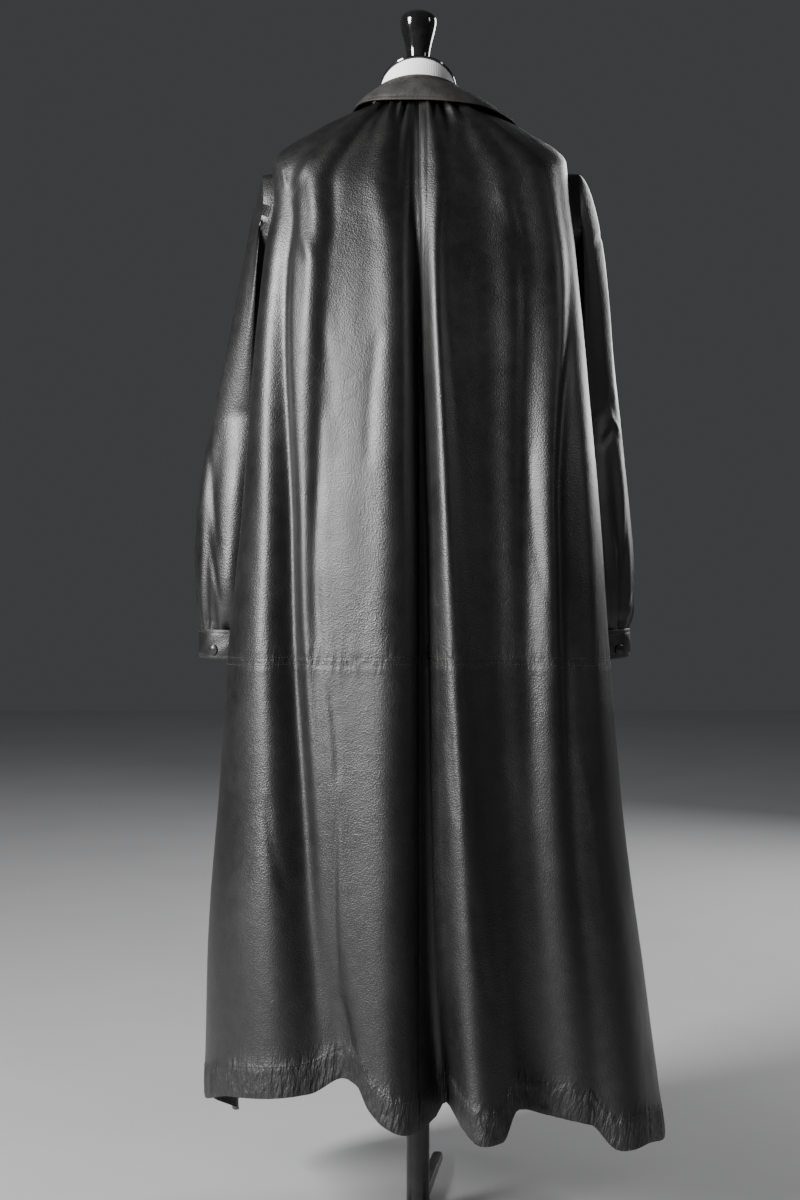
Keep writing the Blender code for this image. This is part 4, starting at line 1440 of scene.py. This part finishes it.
@dataclass
class Sleeves:
    """Full sleeves gathered into stitched cuffs."""

    body: CoatBody
    leather: bpy.types.Material
    seamstress: Seamstress
    columns: int = 160
    head_rows: int = 46
    tube_rows: int = 86
    root_lift: tuple[float, float] = (0.0125, 0.0120)
    outer_fullness: tuple[float, float] = (0.003, 0.020)
    inner_fullness: float = 0.010
    inset: float = 0.25
    tip_inset: float = 0.06
    cuff_top: float = 0.742
    cuff_foot: float = 0.704
    cuff_wall: float = 0.0026
    cuff_edge: float = 0.0012
    groove_inset: float = 0.0042
    groove: float = 0.0011
    tucked: tuple[float, float, float] = (-0.0022, -0.0022, 0.9)
    turned_out: tuple[float, float, float] = (0.0012, 0.0016, 0.1)
    head_spread: float = 1.5
    gather_reach: float = 0.026
    crease_radius: float = 0.058
    pleats: int = 21
    sleeve_flat: tuple[float, float] = (0.44, 0.66)
    sleeve_area: float = 0.200
    cuff_flat: tuple[float, float] = (0.31, 0.038)
    cuff_stitch: float = 0.11
    cuff_rows: int = 26

    def turns(self) -> Array:
        """Angles round a sleeve, from its outer side to its back."""
        return np.linspace(0.0, 2.0 * math.pi, self.columns, endpoint=False)

    def loop(self, side: Side, tip_lift: float, foot_lift: float, tuck: float = 0.0) -> Array:
        """Closed loop at the armhole, from its tip down the back and up the front.

        Args:
            side: Left or right.
            tip_lift: How far it stands out of the body at the tip.
            foot_lift: The same at the armpit.
            tuck: How far it is drawn under the body's edge, in degrees.

        Returns:
            One place for each column.
        """
        half = self.columns // 2
        inner = len(ARMHOLE) - 2
        share = np.arange(self.columns) / half
        travel = np.where(share <= 1.0, share, 2.0 - share)
        stations = [ARMHOLE[0].station + self.tip_inset]
        stations += [row.station for row in ARMHOLE[1:-1]]
        stations += [ARMHOLE[-1].station - self.tip_inset]
        knots = np.arange(inner + 2) / (inner + 1)
        station = np.interp(travel, knots, stations)
        reach_in = self.inset - tuck
        back = smooth(column(ARMHOLE, "station"), column(ARMHOLE, "back"), station) - reach_in
        front = smooth(column(ARMHOLE, "station"), column(ARMHOLE, "front"), station) - reach_in
        ends = np.minimum(travel, 1.0 - travel) * (inner + 1)
        opened = np.clip(ends, 0.0, 1.0)
        offset = np.where(share <= 1.0, -back, front) * opened
        angle = side.value * (self.body.seam_angle + offset)
        rise = (station - stations[0]) / (stations[-1] - stations[0])
        lift = tip_lift + (foot_lift - tip_lift) * rise**2
        return self.body.point(angle, station) + self.body.normal(angle, station) * lift[:, None]

    def ring(self, side: Side, station: float) -> Array:
        """One ring of the hanging tube.

        Args:
            side: Left or right.
            station: Place down the table of sleeve rings.

        Returns:
            One place for each column.
        """
        stations = range(len(SLEEVE_RINGS))
        value = {name: float(smooth(stations, column(SLEEVE_RINGS, name), station))
                 for name in SleeveRing._fields[1:]}
        outer = value[side.word]
        turn = self.turns()
        half = 0.5 * (outer - value["inner"])
        x = 0.5 * (outer + value["inner"]) + half * np.cos(turn)
        y = value["middle"] - value["depth"] * np.sin(turn)
        last = len(SLEEVE_RINGS) - 1
        rise = np.zeros_like(x)
        for fold in SLEEVE_FOLDS:
            tall = smooth((0.0, 1.0, last - 0.5, last), (fold.head, fold.elbow, fold.wrist, 0.0),
                          station)
            off = wrapped(np.degrees(turn) - fold.angle)
            rise = rise + MM * tall * np.exp(-(off / fold.width)**2)
        x = side.value * (x + np.cos(turn) * rise)
        y = y - np.sin(turn) * rise
        return np.stack((x, y, np.full_like(x, value["z"])), axis=-1)

    def rows(self, side: Side) -> Array:
        """All rings of one sleeve, from the armhole to the cuff.

        Args:
            side: Left or right.

        Returns:
            The rings, rows down and columns round.
        """
        loop = self.loop(side, *self.root_lift)
        first = self.ring(side, 0.0)
        turn = self.turns()
        rings = [self.loop(side, *self.tucked), self.loop(side, *self.turned_out), loop]
        for share in np.linspace(0.0, 1.0, self.head_rows)[1:-1]**self.head_spread:
            outer = self.outer_fullness[side is Side.RIGHT] * math.sin(share**0.55 * math.pi)
            inner = self.inner_fullness * math.sin(share**0.6 * math.pi)
            full = np.where(np.cos(turn) > 0.0, outer, inner) * np.cos(turn)
            puff = np.stack((side.value * full, np.zeros_like(turn), 0.4 * full), axis=-1)
            rings.append(loop + (first - loop) * share + puff)
        for station in np.linspace(0.0, len(SLEEVE_RINGS) - 1, self.tube_rows):
            rings.append(self.ring(side, station))
        return np.array(rings)

    def detail(self, side: Side, points: Array) -> tuple[Array, Array]:
        """Raise gathers, creases and unevenness on one sleeve.

        Args:
            side: Left or right.
            points: Plain rings, seen with faces out.

        Returns:
            The finished places and the wear of each.
        """
        out = grid_normals(points, closed=True)
        outward = 1.0 if side is Side.RIGHT else -1.0
        out = out * -outward
        turn = np.broadcast_to(self.turns(), points.shape[:2])
        degrees = np.degrees(turn)
        z = points[..., 2]
        rise = np.zeros_like(z)
        up = z - self.cuff_top
        gather = np.exp(-np.maximum(up, 0.0) / self.gather_reach)
        wave = np.sin(self.pleats * turn + 1.6 * np.sin(3.0 * turn + side.value))
        tall = 0.5 + 0.5 * np.sin(5.0 * turn + 2.0 * side.value)
        longer = np.exp(-np.maximum(up, 0.0) / (0.018 + 0.030 * tall))
        rise += (1.5 * wave * longer - 1.6 * gather * bump(up, 0.006)) * MM
        seed = 1.7 * side.value
        run = points[..., 0] * 0.8 + points[..., 1]
        rise += 0.16 * MM * (np.sin(run * 70.0 + 2.0 * np.sin(z * 17.0 + seed))
                             + 0.8 * np.sin(z * 52.0 + 2.0 * np.sin(run * 40.0 + seed)))
        for crease in SLEEVE_CREASES[side]:
            across = wrapped(degrees - crease.angle) * math.pi / 180.0 * self.crease_radius
            along = (z - crease.z) - across * crease.slant
            line = across + (z - crease.z) * crease.slant
            norm = math.hypot(1.0, crease.slant)
            fade = bump(along / norm, crease.length * 0.5)
            rise += crease.depth * MM * fade * bump(line / norm, crease.width * MM)
        rise[:3] = 0.0
        wear = 0.6 * np.clip(gather, 0.0, 1.0) * (0.5 + 0.5 * wave)
        return points + out * rise[..., None], np.clip(wear, 0.0, 1.0)

    def build_sleeve(self, side: Side) -> None:
        """Build one sleeve.

        Args:
            side: Left or right.
        """
        points, wear = self.detail(side, self.rows(side))
        if side is Side.RIGHT:
            points, wear = points[:, ::-1], wear[:, ::-1]
        name = f"sleeve_{side.word}"
        piece = cloth(points, self.body.wall, closed=True, wear=wear)
        settle(piece, f"leather_{name}", self.leather, [name])

    def build_cuff(self, side: Side) -> None:
        """Build one cuff, with its edge rows and stitches.

        Args:
            side: Left or right.
        """
        top = self.ring(side, len(SLEEVE_RINGS) - 1)
        centre = top.mean(axis=0)
        away = unit((top - centre) * (1.0, 1.0, 0.0))
        length = self.cuff_top - self.cuff_foot
        rings = []
        turn = self.turns()
        for share in np.linspace(0.0, 1.0, self.cuff_rows):
            edge = min(share, 1.0 - share) * length
            puff = 1.2 * math.sin(share * math.pi) - 0.9 * bump(edge, self.cuff_edge)
            row = -0.5 * bump(edge - self.groove_inset, self.groove)
            soft = 0.35 * np.sin(7.0 * turn + 9.0 * share + side.value)
            ring = top + away * ((puff + row + soft) * MM)[:, None]
            ring[:, 2] = self.cuff_top - length * share + 0.0006 * np.sin(3.0 * turn)
            rings.append(ring)
        points = np.array(rings)
        wear = np.zeros(points.shape[:2])
        wear[:3] = wear[-4:] = 0.7
        out = np.broadcast_to(away, points.shape)
        lines = []
        for share in (self.cuff_stitch, 1.0 - self.cuff_stitch):
            row = round(share * (self.cuff_rows - 1))
            line = np.concatenate((points[row], points[row][:1]))
            lines.append((line + np.concatenate((away, away[:1])) * STITCH_LIFT,
                          np.concatenate((out[row], out[row][:1]))))
        if side is Side.RIGHT:
            points, wear = points[:, ::-1], wear[:, ::-1]
        name = f"cuff_{side.word}"
        piece = cloth(points, self.cuff_wall, closed=True, wear=wear)
        settle(piece, f"leather_{name}", self.leather, [name])
        self.seamstress.sew(f"stitches_{name}", lines)

    def build(self) -> None:
        """Build both sleeves with their cuffs."""
        for side in Side:
            self.build_sleeve(side)
            self.build_cuff(side)


class CollarRow(NamedTuple):
    """Collar at an angle: fold's reach, stand, edge's station and how far it stands off."""

    angle: float
    reach: float
    stand: float
    edge: float
    lift: float


COLLAR_ROWS = (
    CollarRow(-172.0, 0.078, 0.016, 1.25, 0.005), CollarRow(-150.0, 0.074, 0.018, 1.20, 0.005),
    CollarRow(-120.0, 0.062, 0.020, 0.80, 0.005), CollarRow(-90.0, 0.054, 0.021, 0.34, 0.004),
    CollarRow(-45.0, 0.056, 0.026, 0.24, 0.007), CollarRow(0.0, 0.060, 0.028, 0.24, 0.009),
    CollarRow(45.0, 0.057, 0.026, 0.40, 0.008), CollarRow(90.0, 0.055, 0.021, 0.92, 0.005),
    CollarRow(120.0, 0.062, 0.020, 1.00, 0.005), CollarRow(150.0, 0.074, 0.018, 1.20, 0.005),
    CollarRow(172.0, 0.078, 0.016, 1.25, 0.005),
)


@dataclass
class Collar:
    """The turn-down collar with its stand."""

    body: CoatBody
    leather: bpy.types.Material
    seamstress: Seamstress
    fold_radius: float = 0.0035
    crown: float = 0.003
    columns: int = 240
    stand_rows: int = 7
    fold_rows: int = 9
    fall_rows: int = 22
    stitch_inset: float = 0.0045
    flat: tuple[float, float] = (0.62, 0.11)
    area: float = 0.045

    def build(self) -> None:
        """Build the collar and its edge stitches."""
        knots = column(COLLAR_ROWS, "angle")
        angles = np.linspace(knots[0], knots[-1], self.columns)
        reach, stand, edge, lift = (smooth(knots, column(COLLAR_ROWS, part), angles)
                                    for part in CollarRow._fields[1:])
        turn = np.radians(angles)
        facing = np.stack((np.sin(turn), -np.cos(turn), np.zeros_like(turn)), axis=-1)
        upwards = np.array((0.0, 0.0, 1.0))
        root = self.body.plan(angles, np.full_like(angles, float(NECK)))
        root = root - facing * 0.5 * self.body.wall + upwards * 0.0004
        fold = facing * reach[:, None] + upwards * (root[:, 2] + stand)[:, None]
        out = self.body.normal(angles, edge, plain=True)
        end = self.body.plan(angles, edge) + out * lift[:, None]
        rows = [root + (fold - facing * self.fold_radius - root) * share
                for share in np.linspace(0.0, 0.85, self.stand_rows)]
        for swing in np.radians(np.linspace(0.0, 180.0, self.fold_rows)):
            rows.append(fold - facing * self.fold_radius * math.cos(swing)
                        + upwards * self.fold_radius * (math.sin(swing) - 1.0))
        start = rows[-1]
        for share in np.linspace(0.0, 1.0, self.fall_rows)[1:]:
            crown = self.crown * math.sin(share * math.pi)
            soft = 0.0006 * np.sin(4.0 * turn + 5.0 * share) * share
            rows.append(start + (end - start) * share + out * (crown + soft)[:, None])
        points = np.array(rows)
        normals = grid_normals(points)
        off = arcs(points[::-1], 0)[::-1]
        height = -0.6 * bump(off - self.stitch_inset, 0.0011) - 0.5 * bump(off, 0.0012)
        points = points + normals * (height * MM)[..., None]
        wear = 0.7 * bump(off, 0.0025)
        piece = cloth(points, self.body.wall, wear=wear)
        settle(piece, "leather_collar", self.leather, ["collar"])
        line = trace(points, normals, off, self.stitch_inset, STITCH_LIFT)
        self.seamstress.sew("stitches_collar", [line], Slot.COLLAR)


class FormRow(NamedTuple):
    """One section of the dress form."""

    name: str
    z: float
    wide: float
    deep: float
    middle: float


FORM_ROWS = (
    FormRow("foot", 0.735, 0.120, 0.086, 0.004), FormRow("hip", 0.790, 0.132, 0.094, 0.004),
    FormRow("upper hip", 0.900, 0.124, 0.088, 0.004), FormRow("waist", 1.000, 0.106, 0.078, 0.004),
    FormRow("ribs", 1.100, 0.120, 0.090, 0.006), FormRow("bust", 1.185, 0.136, 0.104, 0.008),
    FormRow("chest", 1.268, 0.150, 0.096, 0.004), FormRow("shoulder", 1.322, 0.158, 0.076, 0.004),
    FormRow("shoulder top", 1.352, 0.144, 0.058, 0.004),
    FormRow("slope", 1.374, 0.106, 0.052, 0.004),
    FormRow("neck root", 1.392, 0.064, 0.050, 0.002), FormRow("neck", 1.402, 0.0475, 0.0475, 0.000),
)


class TurnedRow(NamedTuple):
    """One ring of a turned piece: rise above its foot and radius."""

    rise: float
    radius: float


KNOB_ROWS = (
    TurnedRow(0.000, 0.0138), TurnedRow(0.020, 0.0136), TurnedRow(0.040, 0.0140),
    TurnedRow(0.052, 0.0158), TurnedRow(0.063, 0.0186), TurnedRow(0.073, 0.0214),
    TurnedRow(0.081, 0.0232), TurnedRow(0.0855, 0.0236), TurnedRow(0.0890, 0.0232),
    TurnedRow(0.0925, 0.0216), TurnedRow(0.0960, 0.0178), TurnedRow(0.0985, 0.0122),
    TurnedRow(0.0998, 0.0060),
)


def turned(rows: Sequence[TurnedRow], sides: int = 64, smooth_levels: int = 1) -> bpy.types.Object:
    """Turn a profile as by hand: a disc, extruded and scaled ring by ring.

    Args:
        rows: The profile from the foot up.
        sides: Sides of each ring.
        smooth_levels: Subdivision levels, applied.

    Returns:
        The turned object, its foot at the origin.
    """
    deselect_all()
    bpy.ops.mesh.primitive_circle_add(vertices=sides, radius=rows[0].radius, fill_type="NGON")
    piece = bpy.context.active_object
    with edit_mode():
        bpy.ops.mesh.flip_normals()
        for low, high in zip(rows, rows[1:]):
            bpy.ops.mesh.extrude_region_move(
                TRANSFORM_OT_translate={"value": (0.0, 0.0, high.rise - low.rise)})
            grow = high.radius / low.radius
            bpy.ops.transform.resize(value=(grow, grow, 1.0))
        bpy.ops.mesh.select_all(action="SELECT")
        bpy.ops.mesh.normals_make_consistent(inside=False)
    if smooth_levels:
        round_off = piece.modifiers.new("round", "SUBSURF")
        round_off.levels = round_off.render_levels = smooth_levels
        apply_modifiers(piece)
    pick(piece)
    bpy.ops.object.shade_smooth_by_angle(angle=math.radians(40.0))
    return piece


@dataclass
class DressForm:
    """The limbless form: jersey torso and neck, cap plate and turned knob."""

    jersey: bpy.types.Material
    lacquer: bpy.types.Material
    sides: int = 96
    neck_top: float = 1.422
    neck_slant: float = 0.65
    cap_thick: float = 0.003
    cap_overhang: float = 0.0012
    seat: float = 0.0003
    torso_rows: int = 70
    neck_rows: int = 8
    neck_clearance: float = 0.006

    def __post_init__(self) -> None:
        """Read how high the frame's form stands."""
        low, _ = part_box("form_torso")
        self.rise = low.z - FORM_ROWS[0].z

    def cut(self, y: Array) -> Array:
        """Height of the slanted neck top at a depth."""
        return self.neck_top + self.rise - self.neck_slant * y

    def build_torso(self) -> None:
        """Build the torso from smooth sections up to the slanted cut."""
        turn = np.linspace(0.0, 2.0 * math.pi, self.sides, endpoint=False)
        heights = column(FORM_ROWS, "z")
        rings = []
        for z in np.linspace(heights[0], heights[-1], self.torso_rows):
            wide, deep, middle = (smooth(heights, column(FORM_ROWS, part), z)
                                  for part in ("wide", "deep", "middle"))
            ring = np.stack((wide * np.sin(turn), middle - deep * np.cos(turn),
                             np.full_like(turn, z + self.rise)), axis=-1)
            ring[:, 2] = np.minimum(ring[:, 2], self.cut(ring[:, 1]) - self.neck_clearance)
            rings.append(ring)
        base = rings[-1]
        top = base.copy()
        top[:, 2] = self.cut(top[:, 1])
        for share in np.linspace(0.0, 1.0, self.neck_rows)[1:]:
            rings.append(base + (top - base) * share)
        points = np.array(rings)[::-1]
        piece = grid_piece(np.concatenate((points, points[:, :1]), axis=1))
        with edit_mode():
            bpy.ops.mesh.remove_doubles(threshold=MERGE)
            bpy.ops.mesh.select_all(action="DESELECT")
            bpy.ops.mesh.select_non_manifold()
            bpy.ops.mesh.edge_face_add()
            bpy.ops.mesh.select_all(action="SELECT")
            bpy.ops.mesh.normals_make_consistent(inside=False)
        bpy.ops.object.shade_smooth_by_angle(angle=math.radians(50.0))
        settle(piece, "form_jersey_torso", self.jersey, ["form_torso"])

    def build_cap(self) -> None:
        """Build the thin plate on the slanted cut."""
        reach = FORM_ROWS[-1].wide + self.cap_overhang
        edge = 0.0006
        rows = (TurnedRow(0.0, reach - edge), TurnedRow(edge, reach),
                TurnedRow(self.cap_thick - edge, reach), TurnedRow(self.cap_thick, reach - edge))
        piece = turned(rows, sides=self.sides, smooth_levels=0)
        self.lean(piece, all_over=True)
        settle(piece, "form_cap_plate", self.lacquer, ["form_cap"])

    def build_knob(self) -> None:
        """Build the turned knob, its foot cut to the plate."""
        piece = turned(KNOB_ROWS, sides=64)
        self.lean(piece, all_over=False)
        settle(piece, "form_turned_knob", self.lacquer, ["form_knob"])

    def lean(self, piece: bpy.types.Object, all_over: bool) -> None:
        """Raise a turned piece to the cut and slant it.

        Args:
            piece: The piece, its foot at the origin.
            all_over: Whether all of it slants, or only its foot.
        """
        seat = self.seat if all_over else 2.0 * self.seat + self.cap_thick
        for vertex in piece.data.vertices:
            lowered = all_over or vertex.co.z < 0.006
            slant = -self.neck_slant * vertex.co.y if lowered else 0.0
            vertex.co.z += self.neck_top + self.rise + seat + slant

    def build(self) -> None:
        """Build torso, cap and knob."""
        self.build_torso()
        self.build_cap()
        self.build_knob()


@dataclass
class Stand:
    """The pole and its three flat legs."""

    paint: bpy.types.Material
    radius: float = 0.0146
    azimuths: tuple[float, ...] = (82.0, 202.0, 322.0)
    reach: float = 0.215
    width: float = 0.014
    height: float = 0.016
    tip_height: float = 0.009

    def build_pole(self) -> None:
        """Build the pole from the floor to the form's foot."""
        _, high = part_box("stand_pole")
        edge = 0.0008
        rows = (TurnedRow(0.0, self.radius - edge), TurnedRow(edge, self.radius),
                TurnedRow(high.z * 0.5, self.radius), TurnedRow(high.z - edge, self.radius),
                TurnedRow(high.z, self.radius - edge))
        piece = turned(rows, sides=64, smooth_levels=0)
        settle(piece, "stand_round_pole", self.paint, ["stand_pole"])

    def build_leg(self, number: int, azimuth: float) -> None:
        """Build one leg: a bar drawn out and lowered to its tip, with soft edges.

        Args:
            number: The leg's number.
            azimuth: The way it points, in degrees.
        """
        start = self.radius + 0.0003
        deselect_all()
        bpy.ops.mesh.primitive_cube_add(size=1.0, location=(start + 0.5 * self.width, 0.0,
                                                            0.5 * self.height))
        piece = bpy.context.active_object
        piece.scale = (self.width, self.width, self.height)
        bpy.ops.object.transform_apply(location=True, rotation=True, scale=True)
        with edit_mode("DESELECT"):
            bpy.ops.mesh.select_mode(type="FACE")
        for face in piece.data.polygons:
            face.select = face.normal.x > 0.9
        bpy.ops.object.mode_set(mode="EDIT")
        steps = ((self.reach * 0.6 - start - self.width, self.height * 0.85),
                 (self.reach * 0.4 - 0.5 * self.width, self.tip_height),
                 (0.5 * self.width, self.tip_height))
        tall = self.height
        for index, (length, next_tall) in enumerate(steps):
            bpy.ops.mesh.extrude_region_move(TRANSFORM_OT_translate={"value": (length, 0.0, 0.0)})
            narrow = 0.5 if index == len(steps) - 1 else 1.0
            bpy.ops.transform.resize(value=(1.0, narrow, next_tall / tall))
            bpy.ops.transform.translate(value=(0.0, 0.0, 0.5 * (next_tall - tall)))
            tall = next_tall
        bpy.ops.object.mode_set(mode="OBJECT")
        soften = piece.modifiers.new("edges", "BEVEL")
        soften.width = 0.0010
        soften.segments = 3
        soften.limit_method = "ANGLE"
        apply_modifiers(piece)
        bpy.ops.object.shade_smooth_by_angle(angle=math.radians(35.0))
        piece.rotation_euler = (0.0, 0.0, math.radians(azimuth))
        bpy.ops.object.transform_apply(location=True, rotation=True, scale=True)
        settle(piece, f"stand_flat_leg_{number}", self.paint, [f"stand_leg_{number}"])

    def build(self) -> None:
        """Build the pole and the legs."""
        self.build_pole()
        for number, azimuth in enumerate(self.azimuths, start=1):
            self.build_leg(number, azimuth)


BUTTON_ROWS = (
    TurnedRow(0.00, 0.900), TurnedRow(0.18, 0.985), TurnedRow(0.42, 1.000),
    TurnedRow(0.66, 0.950), TurnedRow(0.76, 0.860), TurnedRow(0.70, 0.740),
    TurnedRow(0.82, 0.550), TurnedRow(0.94, 0.300), TurnedRow(0.98, 0.100),
)


@dataclass
class Buttons:
    """Domed shank buttons, seated where the frame holds them."""

    gloss: bpy.types.Material
    front_radius: float = 0.0095
    cuff_radius: float = 0.0070
    thick: float = 0.0035

    def pose(self, node: str) -> tuple[Vector, Vector]:
        """Middle of a button's back face, and the way it faces.

        Args:
            node: The button's node in the frame.

        Returns:
            The middle and the direction.
        """
        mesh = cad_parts[node].data
        places = np.array([vertex.co for vertex in mesh.vertices])
        middle = places.mean(axis=0)
        # A button is thinnest along its own axis, the last one of its corner points.
        _, _, axes = np.linalg.svd(np.unique(places.round(6), axis=0) - middle)
        out = axes[2]
        if node.startswith("button_cuff"):
            home = np.array((math.copysign(0.235, middle[0]), 0.060, middle[2]))
        else:
            home = np.array((0.0, 0.0, middle[2]))
        if out @ (middle - home) < 0.0:
            out = -out
        reach = (places - middle) @ out
        return Vector(middle + out * reach.min()), Vector(out)

    def build(self) -> None:
        """Build every button."""
        for node in sorted(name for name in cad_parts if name.startswith("button_")):
            radius = self.cuff_radius if "cuff" in node else self.front_radius
            rows = [TurnedRow(self.thick * row.rise, radius * row.radius) for row in BUTTON_ROWS]
            piece = turned(rows, sides=40)
            place, out = self.pose(node)
            piece.rotation_mode = "QUATERNION"
            piece.rotation_quaternion = out.to_track_quat("Z", "Y")
            piece.location = place
            bpy.ops.object.transform_apply(location=True, rotation=True, scale=True)
            settle(piece, f"domed_{node}", self.gloss, [node])


class Softbox(NamedTuple):
    """One studio light: where it hangs, what it faces, its size and its watts."""

    name: str
    place: tuple[float, float, float]
    aim: tuple[float, float, float]
    size: tuple[float, float]
    power: float


SOFTBOXES = (
    Softbox("key_left", (-2.5, -1.75, 2.0), (0.0, 0.0, 1.10), (0.9, 1.4), 285.0),
    Softbox("fill_right", (2.6, -0.7, 2.1), (0.0, 0.0, 1.3), (0.3, 0.8), 8.0),
    Softbox("front_soft", (1.6, 2.4, 1.9), (0.0, 0.0, 0.9), (1.4, 1.6), 60.0),
)


@dataclass
class Studio:
    """Pale floor, soft lights and the camera at the photograph's angle."""

    floor_size: float = 14.0
    camera_height: float = 0.85
    camera_distance: float = 2.30
    camera_x: float = -0.0229
    lens: float = 54.33
    frame_drop: float = 55.0 / 1200.0
    air: tuple[float, float, float, float] = (0.20, 0.205, 0.21, 1.0)
    air_strength: float = 0.26

    def build_floor(self) -> None:
        """Lay the floor."""
        deselect_all()
        bpy.ops.mesh.primitive_plane_add(size=self.floor_size, location=(0.0, 0.0, 0.0))
        floor = bpy.context.active_object
        floor.name = "studio_floor"
        material, kit, shader = new_material("pale_floor")
        dust = kit.texture("Noise", kit.place(), scale=3.0, detail=3.0)
        kit.join(kit.blend(dust.outputs["Fac"], (0.40, 0.40, 0.41), (0.46, 0.46, 0.47)),
                 shader.inputs["Base Color"])
        shader.inputs["Roughness"].default_value = 0.75
        floor.data.materials.append(material)

    def hang(self, box: Softbox) -> None:
        """Hang one softbox.

        Args:
            box: The light's row of the table.
        """
        data = bpy.data.lights.new(box.name, "AREA")
        data.shape = "RECTANGLE"
        data.size, data.size_y = box.size
        data.energy = box.power
        lamp = bpy.data.objects.new(box.name, data)
        bpy.context.scene.collection.objects.link(lamp)
        lamp.location = box.place
        way = Vector(box.aim) - Vector(box.place)
        lamp.rotation_mode = "QUATERNION"
        lamp.rotation_quaternion = way.to_track_quat("-Z", "Y")

    def build(self) -> None:
        """Light the scene and place the camera."""
        self.build_floor()
        world = bpy.data.worlds.new("studio")
        bpy.context.scene.world = world
        world.use_nodes = True
        backdrop = world.node_tree.nodes["Background"]
        backdrop.inputs["Color"].default_value = self.air
        backdrop.inputs["Strength"].default_value = self.air_strength
        for box in SOFTBOXES:
            self.hang(box)
        data = bpy.data.cameras.new("photo_view")
        data.lens = self.lens
        data.shift_y = -self.frame_drop
        camera = bpy.data.objects.new("photo_view", data)
        bpy.context.scene.collection.objects.link(camera)
        camera.location = (self.camera_x, -self.camera_distance, self.camera_height)
        camera.rotation_euler = (math.radians(90.0), 0.0, 0.0)
        bpy.context.scene.camera = camera


def plain(box: tuple[Vector, Vector]) -> list[list[float]]:
    """A box as lists of numbers."""
    return [list(corner) for corner in box]


def main() -> None:
    """Dress the whole frame and light it."""
    logging.basicConfig(level=logging.INFO, format="%(message)s")
    body = CoatBody()
    leather = LeatherFinish("black_nappa").material()
    trim = LeatherFinish("collar_nappa", deep=(0.020, 0.019, 0.018), light=(0.048, 0.046, 0.043),
                         gloss=(0.48, 0.60), coat=0.12).material()
    lacquer = LacquerFinish("black_lacquer").material()
    paint = LacquerFinish("satin_black_paint", colour=(0.010, 0.010, 0.010), gloss=(0.30, 0.42),
                          relief=0.00006, coat=0.1).material()
    gloss = LacquerFinish("button_horn", gloss=(0.22, 0.34), coat=0.2).material()
    seamstress = Seamstress(ThreadFinish().material())
    CoatPanels(body, leather, seamstress).build()
    Sleeves(body, leather, seamstress).build()
    Collar(body, trim, seamstress).build()
    DressForm(JerseyFinish().material(), lacquer).build()
    Stand(paint).build()
    Buttons(gloss).build()
    Studio().build()


if __name__ == "__main__":
    main()
